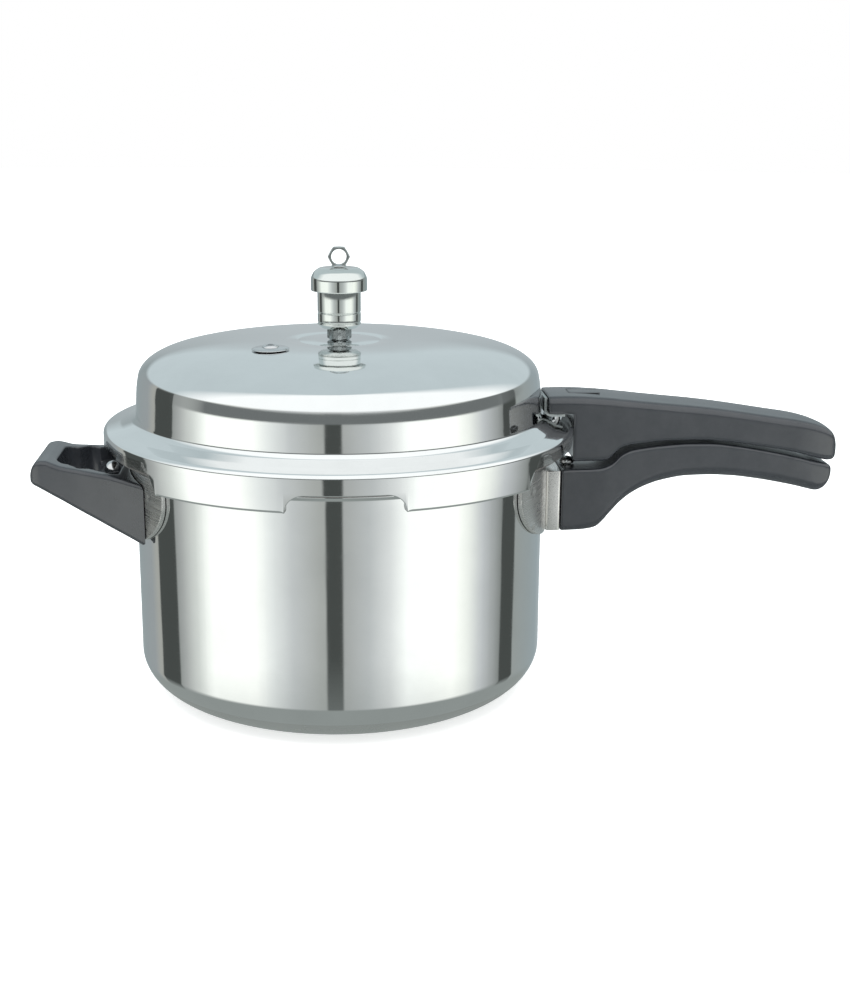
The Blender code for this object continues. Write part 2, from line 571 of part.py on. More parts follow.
def vent_section(angle):
    reach = hex_reach(angle, 11.2)
    return [(1.3, 178.4), (3.7, 178.4), (4.05, 178.9), (4.05, 190.65), (reach * 0.96, 190.65), (reach, 191.1),
            (reach, VENT_HEX - 0.4), (reach * 0.95, VENT_HEX), (3.6, VENT_HEX), (3.2, VENT_HEX + 0.4),
            (3.2, 204.0), (3.2, 210.6), (2.6, VENT_TOP), (1.3, VENT_TOP)]


turned("vent_pipe", vent_section, round_angles(24), STEEL)
simple_turn("vent_washer", [(4.4, 185.9), (8.6, 185.9), (9.0, 186.3), (9.0, 187.2), (4.4, 187.2)], RUBBER, 20)
nut("vent_nut", 0, 0, 180.4, 185.6, 14.0, 4.4, STEEL, 15)


# ---------------------------------------------------------------- weight
simple_turn("weight_clip", [(3.6, 200.4), (4.6, 200.4), (4.8, 200.6), (4.8, 201.8), (4.6, 202.0), (3.6, 202.0)], STEEL, 18)
simple_turn("weight_body", [
    (5.2, WEIGHT_BOTTOM), (9.4, WEIGHT_BOTTOM), (11.1, 198.2), (WEIGHT_R, 198.9), (WEIGHT_R, 199.2), (11.15, 199.5),
    (WEIGHT_R, 199.8), (WEIGHT_R, 204.7), (11.15, 205.0), (WEIGHT_R, 205.3), (WEIGHT_R, 216.2), (2.3, 216.2),
    (2.3, 213.3), (5.2, 213.3)], CHROME, 24)
simple_turn("weight_needle", [(0, 209.7), (0.45, 209.9), (0.9, 211.6), (1.9, 213.2), (1.9, 216.1), (0, 216.1)], STEEL, 16, True)
simple_turn("weight_cap", [
    (0, 217.6), (13.0, 217.6), (13.2, CAP_BOTTOM), (CAP_R - 0.4, CAP_BOTTOM), (CAP_R, 216.9), (CAP_R, 221.6), (14.6, 224.2),
    (13.4, 226.4), (11.3, 228.0), (8.6, CAP_TOP), (2.3, CAP_TOP), (2.3, 223.0), (0, 223.0)], CHROME, 24, True)


def eye_section(angle):
    """Ring section seen along Y: the outline swells to a soft hexagon."""
    out = 5.3 + 0.65 * (hex_reach(angle, 2.0) - 1.0) / (2 / sqrt(3) - 1)
    return [(4.0, -1.2), (4.4, -1.6), (out - 0.4, -1.6), (out, -1.1), (out, 1.1), (out - 0.4, 1.6), (4.4, 1.6), (4.0, 1.2)]


eye = turned("weight_eye", eye_section, round_angles(24), STEEL)
eye.rotation_euler = (pi / 2, 0, 0)
eye.location = (0, 0, EYE_Z * MM)
stem = simple_turn("weight_eye_stem", [(0, 223.4), (1.7, 223.4), (2.0, 223.8), (2.0, 229.1), (4.0, 229.1), (4.0, 229.7), (2.5, 230.1),
                                       (0, 230.2)], None, 16, True)
join(eye, stem)
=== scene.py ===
# %% [markdown]
# # A stovetop pressure cooker, dressed for the studio
#
# The working model of this cooker already exists as plain solids: a spun pot, a twist-lock lid, two long
# grips, a loop grip and a small weight that sits on the vent.  This lesson puts a fine skin on each of them.
# Nothing is moved.  Every new piece rides on one of the model's moving bodies, so the lid still turns and
# lifts, and the weight still spins, with all the fine work on it.

# %% Open the working model
import json
from math import acos, atan2, cos, degrees, hypot, pi, radians, sin, sqrt, tan

import bmesh
import bpy
from mathutils import Matrix, Vector

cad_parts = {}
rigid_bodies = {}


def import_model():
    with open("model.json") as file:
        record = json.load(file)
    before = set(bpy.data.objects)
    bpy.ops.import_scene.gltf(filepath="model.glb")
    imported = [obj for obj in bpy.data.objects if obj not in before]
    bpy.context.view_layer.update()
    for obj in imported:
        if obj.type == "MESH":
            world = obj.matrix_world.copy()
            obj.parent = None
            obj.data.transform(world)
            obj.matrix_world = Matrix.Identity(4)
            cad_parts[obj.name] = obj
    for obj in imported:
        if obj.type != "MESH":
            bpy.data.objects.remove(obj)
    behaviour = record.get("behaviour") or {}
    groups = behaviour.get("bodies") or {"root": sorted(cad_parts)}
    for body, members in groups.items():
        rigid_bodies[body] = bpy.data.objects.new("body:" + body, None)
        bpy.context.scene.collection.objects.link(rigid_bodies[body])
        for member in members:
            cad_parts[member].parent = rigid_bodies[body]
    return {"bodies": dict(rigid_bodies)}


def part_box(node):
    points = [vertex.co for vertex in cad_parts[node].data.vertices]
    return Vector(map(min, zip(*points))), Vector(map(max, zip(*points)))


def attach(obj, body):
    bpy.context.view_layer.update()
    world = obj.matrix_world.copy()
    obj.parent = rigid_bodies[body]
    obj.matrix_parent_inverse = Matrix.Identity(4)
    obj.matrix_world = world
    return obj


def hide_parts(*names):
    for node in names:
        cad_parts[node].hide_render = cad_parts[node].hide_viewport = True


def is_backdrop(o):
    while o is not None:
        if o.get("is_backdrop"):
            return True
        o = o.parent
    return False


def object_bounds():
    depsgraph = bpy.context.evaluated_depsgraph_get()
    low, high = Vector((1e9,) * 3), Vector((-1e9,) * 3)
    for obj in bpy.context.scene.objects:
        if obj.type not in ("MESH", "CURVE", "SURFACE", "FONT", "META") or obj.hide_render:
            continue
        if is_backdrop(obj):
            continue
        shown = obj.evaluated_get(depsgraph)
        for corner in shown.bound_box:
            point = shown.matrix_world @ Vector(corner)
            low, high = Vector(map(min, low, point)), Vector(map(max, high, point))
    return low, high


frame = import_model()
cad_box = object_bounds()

MM = 0.001
for body, empty in frame["bodies"].items():
    print(body, "carries", sorted(child.name for child in empty.children))

# %% [markdown]
# ## Reading the sizes
#
# A piece goes where the model says.  The helper below gives a node's two corners in millimetres, and the
# sizes that the rest of the lesson leans on come straight from it: the height of the pot's rim, and where
# the lid's crown and skirt end.

# %% The sizes that drive everything
def corners(node):
    low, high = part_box(node)
    return low / MM, high / MM


LID_LOW, LID_HIGH = corners("lid_shell")
RIM_TOP = corners("pot_body")[1].z
SKIRT_R = LID_HIGH.x
SKIRT_BOTTOM = LID_LOW.z
LID_TOP = LID_HIGH.z
POT_R = 110.0
WALL = 3.2
print(f"pot rim at {RIM_TOP:.1f} mm, skirt radius {SKIRT_R:.1f} mm")
print(f"lid from {SKIRT_BOTTOM:.1f} to {LID_TOP:.1f} mm")

# %% [markdown]
# ## Finishes
#
# A finish is a small node tree.  All of ours start from the Principled shader and read Object coordinates,
# which are the model's own metres, so the grain has its true size on every piece.
# Numbers that are the same all over a surface are typed straight into the shader's sockets.

# %% A helper for node trees
def new_finish(name, colour, metallic, roughness, **extra):
    """A material with a Principled shader; returns it with its nodes, links and shader."""
    made = bpy.data.materials.new(name)
    made.use_nodes = True
    nodes, links = made.node_tree.nodes, made.node_tree.links
    shader = nodes["Principled BSDF"]
    shader.inputs["Base Color"].default_value = (*colour, 1.0)
    shader.inputs["Metallic"].default_value = metallic
    shader.inputs["Roughness"].default_value = roughness
    for socket, value in extra.items():
        shader.inputs[socket.replace("_", " ")].default_value = value
    return made, nodes, links, shader


def feed(links, socket, value):
    """Links a node's output into the socket, or types the number in."""
    if isinstance(value, bpy.types.NodeSocket):
        links.new(value, socket)
    else:
        socket.default_value = value


def maths(nodes, links, operation, a, b=0.0):
    node = nodes.new("ShaderNodeMath")
    node.operation = operation
    feed(links, node.inputs[0], a)
    feed(links, node.inputs[1], b)
    return node.outputs[0]


def mapped(nodes, links, value, low, high, from_low=0.3, from_high=0.7):
    """Stretches a noise value to a range of our own."""
    node = nodes.new("ShaderNodeMapRange")
    feed(links, node.inputs["Value"], value)
    node.inputs["From Min"].default_value = from_low
    node.inputs["From Max"].default_value = from_high
    node.inputs["To Min"].default_value = low
    node.inputs["To Max"].default_value = high
    return node.outputs["Result"]


def noise(nodes, links, vector, scale, detail=2.0, rough=0.5):
    node = nodes.new("ShaderNodeTexNoise")
    feed(links, node.inputs["Vector"], vector)
    node.inputs["Scale"].default_value = scale
    node.inputs["Detail"].default_value = detail
    node.inputs["Roughness"].default_value = rough
    return node.outputs["Fac"]


def own_place(nodes):
    return nodes.new("ShaderNodeTexCoord").outputs["Object"]


def bumped(nodes, links, height, depth, below=None, strength=1.0):
    """A bump of that depth in metres; below is another bump that it lies on."""
    node = nodes.new("ShaderNodeBump")
    node.inputs["Strength"].default_value = strength
    node.inputs["Distance"].default_value = depth
    feed(links, node.inputs["Height"], height)
    if below is not None:
        links.new(below, node.inputs["Normal"])
    return node.outputs["Normal"]


print("node helpers ready")

# %% [markdown]
# ### Spun, polished aluminium
#
# The pot and lid are spun on a lathe and buffed with a wheel while they turn, so whatever grain is left runs
# in rings round the axis.  We turn the place into radius, height and angle, and squeeze a noise so that it
# changes fast across the rings and slowly along them.  Under that lies a slow swell, because a sheet that a
# wheel has leaned on is never quite true, and reflections in it bend a little.

# %% The spun finish
def rings(nodes, links, fine, along):
    """Coordinates that run quickly across the lathe's rings and slowly along them."""
    parts = nodes.new("ShaderNodeSeparateXYZ")
    links.new(own_place(nodes), parts.inputs[0])
    x, y, z = parts.outputs
    radius = maths(nodes, links, "SQRT", maths(nodes, links, "ADD", maths(nodes, links, "MULTIPLY", x, x),
                                               maths(nodes, links, "MULTIPLY", y, y)))
    angle = maths(nodes, links, "ARCTAN2", y, x)
    join = nodes.new("ShaderNodeCombineXYZ")
    links.new(maths(nodes, links, "MULTIPLY", radius, fine), join.inputs[0])
    links.new(maths(nodes, links, "MULTIPLY", z, fine), join.inputs[1])
    links.new(maths(nodes, links, "MULTIPLY", angle, along), join.inputs[2])
    return join.outputs[0]


def spun_metal(name, colour, smooth, dull, grain_depth, swell_depth, fine=2600.0):
    made, nodes, links, shader = new_finish(name, colour, 1.0, smooth)
    grain = noise(nodes, links, rings(nodes, links, fine, 3.0), 1.0, 3.0, 0.6)
    haze = noise(nodes, links, own_place(nodes), 38.0, 4.0, 0.6)
    swell = noise(nodes, links, own_place(nodes), 21.0, 1.0)
    worn = maths(nodes, links, "MULTIPLY", mapped(nodes, links, grain, 0.6, 1.4),
                 mapped(nodes, links, haze, smooth, dull))
    links.new(worn, shader.inputs["Roughness"])
    tint = nodes.new("ShaderNodeMixRGB")
    tint.inputs[1].default_value = (*colour, 1.0)
    tint.inputs[2].default_value = (*[c * 0.95 for c in colour], 1.0)
    links.new(mapped(nodes, links, haze, 0.0, 1.0), tint.inputs[0])
    links.new(tint.outputs[0], shader.inputs["Base Color"])
    under = bumped(nodes, links, swell, swell_depth)
    links.new(bumped(nodes, links, grain, grain_depth, under), shader.inputs["Normal"])
    return made


polished = spun_metal("polished_spun_aluminium", (0.86, 0.87, 0.87), 0.035, 0.07, 0.0000022, 0.00012)
inside = spun_metal("spun_aluminium_inside", (0.80, 0.80, 0.79), 0.16, 0.24, 0.00001, 0.0001, 1500.0)
satin = spun_metal("satin_aluminium", (0.88, 0.87, 0.85), 0.30, 0.34, 0.0000001, 0.00001, 2600.0)
dull_steel = spun_metal("dull_steel", (0.40, 0.43, 0.43), 0.26, 0.34, 0.000001, 0.00001, 2600.0)
nickel = spun_metal("bright_nickel", (0.74, 0.77, 0.75), 0.05, 0.09, 0.000003, 0.00002, 4200.0)
steel = spun_metal("turned_steel", (0.66, 0.67, 0.68), 0.10, 0.18, 0.000004, 0.00002, 4200.0)
alloy = spun_metal("cast_tin_alloy", (0.33, 0.34, 0.35), 0.42, 0.6, 0.00002, 0.00002, 1500.0)
print("metal finishes:", [m.name for m in (polished, inside, satin, dull_steel, nickel, steel, alloy)])

# %% [markdown]
# ### Bakelite and rubber
#
# Bakelite is a hard phenolic resin, pressed hot in a steel mould.  It comes out nearly black with a faint
# cloudiness from the filler, and with a skin that is glossy where the mould was polished and a little dull
# where fingers have been.  Rubber is duller, with a fine pimple from the mould.

# %% The moulded finishes
def moulded(name, dark, light, smooth, dull, pimple, scale, gloss):
    made, nodes, links, shader = new_finish(name, dark, 0.0, smooth, Specular_IOR_Level=gloss)
    place = own_place(nodes)
    cloud = noise(nodes, links, place, 62.0, 5.0, 0.65)
    skin = noise(nodes, links, place, 24.0, 3.0, 0.6)
    fine = noise(nodes, links, place, scale, 2.0)
    mix = nodes.new("ShaderNodeMixRGB")
    mix.inputs[1].default_value = (*dark, 1.0)
    mix.inputs[2].default_value = (*light, 1.0)
    links.new(mapped(nodes, links, cloud, 0.0, 1.0, 0.35, 0.7), mix.inputs[0])
    links.new(mix.outputs[0], shader.inputs["Base Color"])
    links.new(mapped(nodes, links, skin, smooth, dull), shader.inputs["Roughness"])
    under = bumped(nodes, links, skin, 0.000012)
    links.new(bumped(nodes, links, fine, pimple, under), shader.inputs["Normal"])
    return made


bakelite = moulded("black_bakelite", (0.022, 0.025, 0.030), (0.030, 0.033, 0.038),
                   0.17, 0.26, 0.000005, 1500.0, 0.85)
rubber = moulded("seal_rubber", (0.085, 0.083, 0.078), (0.13, 0.125, 0.118),
                 0.55, 0.7, 0.00003, 2500.0, 0.4)
FINISH_OF = {"polished_aluminium": polished, "satin_bracket": satin, "nickel_plate": nickel, "steel": steel,
             "fusible_alloy": alloy, "bakelite": bakelite, "rubber": rubber}
print("the model's slots and their finishes:", {slot: made.name for slot, made in FINISH_OF.items()})

# %% [markdown]
# ## Mesh helpers
#
# Nearly everything on this cooker is turned or pressed, so three small tools do most of the work.
# `rounded` takes the few corners of a section and puts a true arc on each.  `turned` carries a section round
# an axis, and the section may change with the angle, which is how the lid gets its arches.  `keep` turns the
# mesh into a piece, gives it its finish, and hides the plain solid it stands for.

# %% Sections with rounded corners
def rounded(section, per=5, closed=True):
    """Points of a section given as (r, z, fillet) corners."""
    points = []
    count = len(section)
    for i, (r, z, fillet) in enumerate(section):
        if fillet == 0 or (not closed and i in (0, count - 1)):
            points.append((r, z))
            continue
        here = Vector((r, z))
        back = Vector(section[i - 1][:2]) - here
        on = Vector(section[(i + 1) % count][:2]) - here
        half = back.angle(on) / 2
        reach = min(fillet / tan(half), back.length * 0.48, on.length * 0.48)
        centre = here + (back.normalized() + on.normalized()).normalized() * (reach / cos(half))
        first = here + back.normalized() * reach - centre
        last = here + on.normalized() * reach - centre
        start = atan2(first.y, first.x)
        sweep = (atan2(last.y, last.x) - start + pi) % (2 * pi) - pi
        for k in range(per + 1):
            t = start + sweep * k / per
            points.append((centre.x + first.length * cos(t), centre.y + first.length * sin(t)))
    return points


def arc(cr, cz, reach_r, reach_z, start, end, count):
    return [(cr + reach_r * cos(radians(start + (end - start) * i / count)),
             cz + reach_z * sin(radians(start + (end - start) * i / count))) for i in range(count + 1)]


def eased(value, low, high):
    """0 below low, 1 above high, and a smooth rise between."""
    t = min(1.0, max(0.0, (value - low) / (high - low)))
    return t * t * (3 - 2 * t)


square = rounded([(0, 0, 2), (10, 0, 2), (10, 10, 2), (0, 10, 2)])
print("a 10 mm square with 2 mm corners has", len(square), "points")


# %% Turning a section round an axis
def turned(section_at, angles):
    bm = bmesh.new()
    loops = []
    for a in angles:
        c, s = cos(radians(a)), sin(radians(a))
        loops.append([bm.verts.new((r * c, r * s, z)) for r, z in section_at(a)])
    for one, two in zip(loops, loops[1:] + loops[:1]):
        for j in range(len(one)):
            k = (j + 1) % len(one)
            bm.faces.new((one[j], one[k], two[k], two[j]))
    return bm


def all_round(steps):
    return [360.0 * i / steps for i in range(steps)]


def plain_turn(section, steps):
    return turned(lambda angle: section, all_round(steps))


def stood(bm, x=0.0, y=0.0, z=0.0, turn=None):
    """Puts a turned mesh where it belongs, with a tilt first if it has one."""
    placed = Matrix.Translation((x, y, z)) @ (turn or Matrix.Identity(4))
    bmesh.ops.transform(bm, matrix=placed, verts=bm.verts)
    return bm


SHARP = radians(38.0)      # edges that turn more than this stay crisp
SAME = 0.0005              # points closer than this, in millimetres, become one


def closed(bm):
    """Joins points that coincide and turns every face outwards."""
    bmesh.ops.remove_doubles(bm, verts=bm.verts, dist=SAME)
    bmesh.ops.recalc_face_normals(bm, faces=bm.faces)


def keep(name, bm, body, slot, stands_for, finish=None):
    """Closes the mesh, makes it a piece in metres, and hangs it on its body."""
    closed(bm)
    if bm.calc_volume(signed=True) < 0:
        bmesh.ops.reverse_faces(bm, faces=bm.faces)
    bmesh.ops.scale(bm, vec=(MM, MM, MM), verts=bm.verts)
    mesh = bpy.data.meshes.new(name)
    bm.to_mesh(mesh)
    bm.free()
    mesh.shade_smooth()
    mesh.set_sharp_from_angle(angle=SHARP)
    piece = bpy.data.objects.new(name, mesh)
    bpy.context.scene.collection.objects.link(piece)
    mesh.materials.append(finish or FINISH_OF[slot])
    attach(piece, body)
    if stands_for:
        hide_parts(*stands_for)
    print(f"{name}: {len(mesh.polygons)} faces, rides on {body}")
    return piece


# %% [markdown]
# ## The pot
#
# The real pot is one disc of aluminium, pressed and spun into a straight wall with a wide soft corner at the
# base.  Its rim is rolled out and trimmed, leaving four lugs that the lid locks under.  One section turned
# round the axis gives all of it, if the rim's reach grows wherever a lug sits.

# %% Spin the pot
BASE_REACH, BASE_RISE = 31.9, 23.2
FLOOR = 3.6
RIM_BOTTOM, RIM_R, LUG_R = 130.8, 112.5, 121.2
LUG_HALF, LUG_CORNER = 11.5, 2.2
LUGS = (60.0, 120.0, 240.0, 300.0)


def lug_share(angle):
    """1 on a lug, 0 between lugs, with rounded corners in plan."""
    off = min(abs((angle - c + 180) % 360 - 180) for c in LUGS)
    over = (off - (LUG_HALF - LUG_CORNER)) / LUG_CORNER
    return 1.0 if over <= 0 else sqrt(max(0.0, 1 - over * over))


def pot_section(angle):
    out = RIM_R + (LUG_R - RIM_R) * lug_share(angle)
    inner = POT_R - WALL
    corner_r = POT_R - BASE_REACH
    base = [(0, 0.5), (57.0, 0.5), (58.5, 0.0), (corner_r - 1.0, 0.0)]
    outer = arc(corner_r, BASE_RISE, BASE_REACH, BASE_RISE, -90, 0, 22)
    rim = rounded([(POT_R, RIM_BOTTOM - 6, 0), (POT_R, RIM_BOTTOM, 1.6), (out, RIM_BOTTOM, 1.0),
                   (out, RIM_TOP, 1.2), (inner, RIM_TOP, 1.4), (inner, RIM_TOP - 8, 0)], 5, closed=False)
    hollow = arc(corner_r, BASE_RISE, BASE_REACH - WALL, BASE_RISE - FLOOR, 0, -90, 18)
    return base + outer + rim + hollow + [(0, FLOOR)]


def lug_angles():
    found = set(all_round(240))
    for c in LUGS:
        for side in (-1, 1):
            found |= {round((c + side * (LUG_HALF - LUG_CORNER * (1 - i / 8))) % 360, 3) for i in range(9)}
            found.add(round((c + side * (LUG_HALF + 0.05)) % 360, 3))
    return sorted(found)


pot = keep("spun_pot", turned(pot_section, lug_angles()), "pot", "polished_aluminium", ["pot_body"])
pot.data.materials.append(inside)
for face in pot.data.polygons:
    middle = face.center / MM
    if hypot(middle.x, middle.y) < POT_R - WALL + 0.3 and 1.0 < middle.z < RIM_TOP - 3:
        face.material_index = 1

# %% [markdown]
# ## The lid
#
# The lid is a second spinning: a flat crown, a soft shoulder, a side wall that flares a little as it comes
# down, a flange, and a skirt that drops over the pot's rim.  The skirt's lower edge is turned in to make the
# lugs.  It is cut away in a low arch front and back, and in two big cut-outs that let the lid drop past the
# brackets of the grips.
# A mirror finish shows every kink in a section, so the crown's curve is chosen to have the shoulder's own
# height and slope where the two meet.

# %% The lid's section
SHEET = 2.7
CROWN_R = 90.0             # where the crown's curve gives way to the shoulder's
DOME_R, SHOULDER_R, SHOULDER_RISE, SHOULDER_BASE = 107.1, 31.6, 15.4, 171.83
SHOULDER_END = 6.2         # degrees up the shoulder's arc, where the side wall begins
FLAT_R = DOME_R - SHOULDER_R
SIDE_STEPS = [(1.1, tilt) for tilt in (12.0, 11.0, 10.0, 9.0, 8.0, 6.4, 4.8)] + [(2.1, 3.8)] * 5
# Corners of the lid's section below the side wall, each with its radius.
NECK_FOOT, FLANGE_BEND, FLANGE_ROLL = (108.93, 150.5, 6.0), (116.6, 147.55, 8.0), (SKIRT_R, 146.2, 3.6)
ROLL_IN, BEND_IN, FOOT_IN = (SKIRT_R - SHEET, 143.8, 0.9), (116.2, 144.8, 8.0), (106.3, 148.6, 8.0)
INSIDE_TOP = (105.3, 162.0)
HOLD_ROWS = (141.6, 140.0, 138.6, 137.4)     # keep the arches' shading low on the skirt
LIP_R, LIP_SHEET = 114.4, 2.6
ARCH_TOP, ARCH_HALF, ARCH_CORNER = 136.0, 13.4, 4.6
SIDE_TOP, SIDE_LOW_A, SIDE_HIGH_A = 142.9, 46.9, 51.1
LIP_CORNER = 1.2           # degrees over which the lip's ends round off
VENT_HOLE = 4.4
RING_DEPTH = 0.22          # a shallow ring pressed round the vent


def shoulder_z(r, sheet=0.0):
    over = (r - FLAT_R) / (SHOULDER_R - sheet)
    return SHOULDER_BASE + (SHOULDER_RISE - sheet) * sqrt(1 - over * over)


CROWN_DROP = LID_TOP - shoulder_z(CROWN_R)
CROWN_SLOPE = (shoulder_z(CROWN_R - 0.01) - shoulder_z(CROWN_R + 0.01)) / 0.02
CROWN_POWER = CROWN_SLOPE * CROWN_R / CROWN_DROP


def crown_z(r, sheet=0.0):
    """Height of the crown at radius r, on the outside or one sheet below."""
    ring = RING_DEPTH * (eased(r, 20.6, 21.6) - eased(r, 22.4, 23.4))
    return LID_TOP - CROWN_DROP * (r / CROWN_R) ** CROWN_POWER - sheet - (ring if sheet == 0 else 0.0)


def skirt_edge(angle):
    """Height of the skirt's lower edge, and how much of the turned-in lip is there, from 0 to 1."""
    a = abs(abs((angle + 180) % 360 - 180) - 90)
    if a < ARCH_HALF:
        over = max(0.0, (a - (ARCH_HALF - ARCH_CORNER)) / ARCH_CORNER)
        return ARCH_TOP - (ARCH_TOP - SKIRT_BOTTOM) * (1 - sqrt(max(0.0, 1 - over * over))), 0.0
    if a <= SIDE_LOW_A:
        inwards = min(a - ARCH_HALF, SIDE_LOW_A - a)
        over = max(0.0, 1 - inwards / LIP_CORNER)
        return SKIRT_BOTTOM, sqrt(max(0.0, 1 - over * over))
    if a < SIDE_HIGH_A:
        t = (a - SIDE_LOW_A) / (SIDE_HIGH_A - SIDE_LOW_A)
        return SKIRT_BOTTOM + (SIDE_TOP - SKIRT_BOTTOM) * t ** 0.8, 0.0
    return SIDE_TOP, 0.0


def lid_section(angle):
    edge, lip = skirt_edge(angle)
    inner = SKIRT_R - SHEET
    lip_r = inner - 0.02 - (inner - LIP_R) * lip
    lip_h = 0.3 + (LIP_SHEET - 0.3) * lip
    radii = [VENT_HOLE, 12, 20.6, 21.1, 21.6, 22.0, 22.4, 22.9, 23.4] + [30 + 5 * i for i in range(8)]
    radii += [69 + 3 * i for i in range(7)]
    top = [(r, crown_z(r)) for r in radii]
    turn = degrees(acos((CROWN_R - FLAT_R) / SHOULDER_R))
    shoulder = arc(FLAT_R, SHOULDER_BASE, SHOULDER_R, SHOULDER_RISE, turn, SHOULDER_END, 22)
    side = [shoulder[-1]]        # drops step by step, each with its own lean in degrees
    for drop, tilt in SIDE_STEPS:
        side.append((side[-1][0] + drop * tan(radians(tilt)), side[-1][1] - drop))
    flange = rounded([(*side[-1], 0), NECK_FOOT, FLANGE_BEND, FLANGE_ROLL] + [(SKIRT_R, z, 0) for z in HOLD_ROWS]
                     + [(SKIRT_R, edge, 0.5 + 0.9 * lip), (lip_r, edge, 0.4 + 0.8 * lip),
                        (lip_r, edge + lip_h, 0.1 + 0.8 * lip), (inner, edge + lip_h, 0.1 + 0.6 * lip),
                        ROLL_IN, BEND_IN, FOOT_IN, (*INSIDE_TOP, 0)], 6, closed=False)[1:]
    turn_in = degrees(acos((CROWN_R - 2.0 - FLAT_R) / (SHOULDER_R - SHEET)))
    back = arc(FLAT_R, SHOULDER_BASE, SHOULDER_R - SHEET, SHOULDER_RISE - SHEET, -10, turn_in, 16)
    below = [(r, crown_z(r, SHEET)) for r in (79, 70, 58, 40, VENT_HOLE)]
    return top + shoulder + side[1:] + flange + back + below


print("the lid's section has", len(lid_section(45.0)), "points, and as many at every angle")


# %% Spin the lid
def lid_angles():
    found = set(all_round(240))
    marks = []
    for middle in (90.0, 270.0):
        for side in (-1, 1):
            marks += [(middle, side, ARCH_HALF - ARCH_CORNER * (1 - (i / 10))) for i in range(11)]
            marks += [(middle, side, ARCH_HALF + d) for d in (0.03, 0.15, 0.4, 0.8, 1.2)]
            marks += [(middle, side, SIDE_LOW_A - d) for d in (1.2, 0.8, 0.4, 0.15, 0.03)]
            marks += [(middle, side, SIDE_LOW_A + (SIDE_HIGH_A - SIDE_LOW_A) * i / 12) for i in range(13)]
    found |= {round((middle + side * a) % 360, 3) for middle, side, a in marks}
    return sorted(found)


lid = keep("spun_lid", turned(lid_section, lid_angles()), "lid", "polished_aluminium", ["lid_shell"])

# %% [markdown]
# ### Holes
#
# A hole is a Boolean with a round bar.  The cutter is thrown away as soon as it has cut.

# %% Drill the lid
def cutter_from(bm):
    """A cutter in metres from a mesh in millimetres."""
    closed(bm)
    bmesh.ops.scale(bm, vec=(MM, MM, MM), verts=bm.verts)
    made = bpy.data.objects.new("cutter", bpy.data.meshes.new("cutter"))
    bm.to_mesh(made.data)
    bm.free()
    return made


def post(x, y, radius, low, high, steps=64):
    """An upright round bar, for cutting."""
    return stood(plain_turn([(0, low), (radius, low), (radius, high), (0, high)], steps), x, y)


def settle(piece):
    """Replaces the mesh by what its modifiers make of it."""
    graph = bpy.context.evaluated_depsgraph_get()
    old = piece.data
    made = bpy.data.meshes.new_from_object(piece.evaluated_get(graph))
    piece.modifiers.clear()
    piece.data = made
    made.name = piece.name
    bpy.data.meshes.remove(old)


def carve(piece, *bars):
    """Cuts each bar out of the piece, one Boolean at a time."""
    for bar in bars:
        cutter = cutter_from(bar)
        bpy.context.scene.collection.objects.link(cutter)
        step = piece.modifiers.new("carve", "BOOLEAN")
        step.operation = "DIFFERENCE"
        step.solver = "EXACT"
        step.object = cutter
        settle(piece)
        bpy.data.objects.remove(cutter, do_unlink=True)


RIVETS = [(117.0, 9.0), (117.0, -9.0)]
PLUG = (-36.0, -32.0)
carve(lid, *[post(x, y, 2.4, 138.0, 152.0, 48) for x, y in RIVETS], post(*PLUG, 5.9, 180.0, 196.0, 48))
lid.data.set_sharp_from_angle(angle=SHARP)
print("lid drilled for two rivets and the safety plug")

# %% [markdown]
# ## The seal
#
# A ring of rubber sits on the pot's rim, and the lid's flange presses on it.  It shows as a grey-brown band
# in the lid's two side cut-outs.  One rounded section with a shallow groove round its outer face is enough.

# %% Mould the seal
SEAL_LOW, SEAL_HIGH = corners("gasket")
seal_in, seal_out = 108.4, SEAL_HIGH.x
seal_mid = (SEAL_LOW.z + SEAL_HIGH.z) / 2
seal_section = rounded([(seal_in + 0.2, SEAL_LOW.z, 0.8), (seal_out, SEAL_LOW.z, 0.8),
                        (seal_out, seal_mid - 0.9, 0.2), (seal_out - 0.7, seal_mid - 0.4, 0.2),
                        (seal_out - 0.7, seal_mid + 0.4, 0.2), (seal_out, seal_mid + 0.9, 0.2),
                        (seal_out, SEAL_HIGH.z, 1.4), (110.2, SEAL_HIGH.z, 1.0),
                        (seal_in, SEAL_HIGH.z - 1.8, 0.8), (seal_in, seal_mid, 1.0)], 4)
keep("seal_ring", plain_turn(seal_section, 240), "seal", "rubber", ["gasket"])

# %% [markdown]
# ## Small turned fittings
#
# Screws, rivets, the safety plug and the vent are all bar stock turned on a small lathe, so they share one
# tool: a section, a place and a tilt.  A hexagon is a turned section whose reach swells towards each corner;
# the chamfer that a real nut has comes from cutting that swell back near its ends.

# %% Tools for small fittings
PITCH = 0.7                # of a grip screw's thread


def hex_reach(angle, flats, turn=0.0):
    within = (angle - turn - 30.0) % 60.0
    within = min(within, 60.0 - within)
    return flats / 2 / cos(radians(within))


def hex_nut(low, high, flats, bore, turn=0.0):
    """A nut with a chamfered hexagon and a countersunk bore."""
    def section(angle):
        reach = hex_reach(angle, flats, turn)
        cut = max(0.0, reach - flats / 2 * 1.03)
        edge = 0.35 + cut * 0.5
        return [(bore, low + 0.5), (bore + 0.5, low), (flats / 2 * 0.97, low), (reach, low + edge),
                (reach, high - edge), (flats / 2 * 0.97, high), (bore + 0.5, high), (bore, high - 0.5)]
    return turned(section, all_round(96))


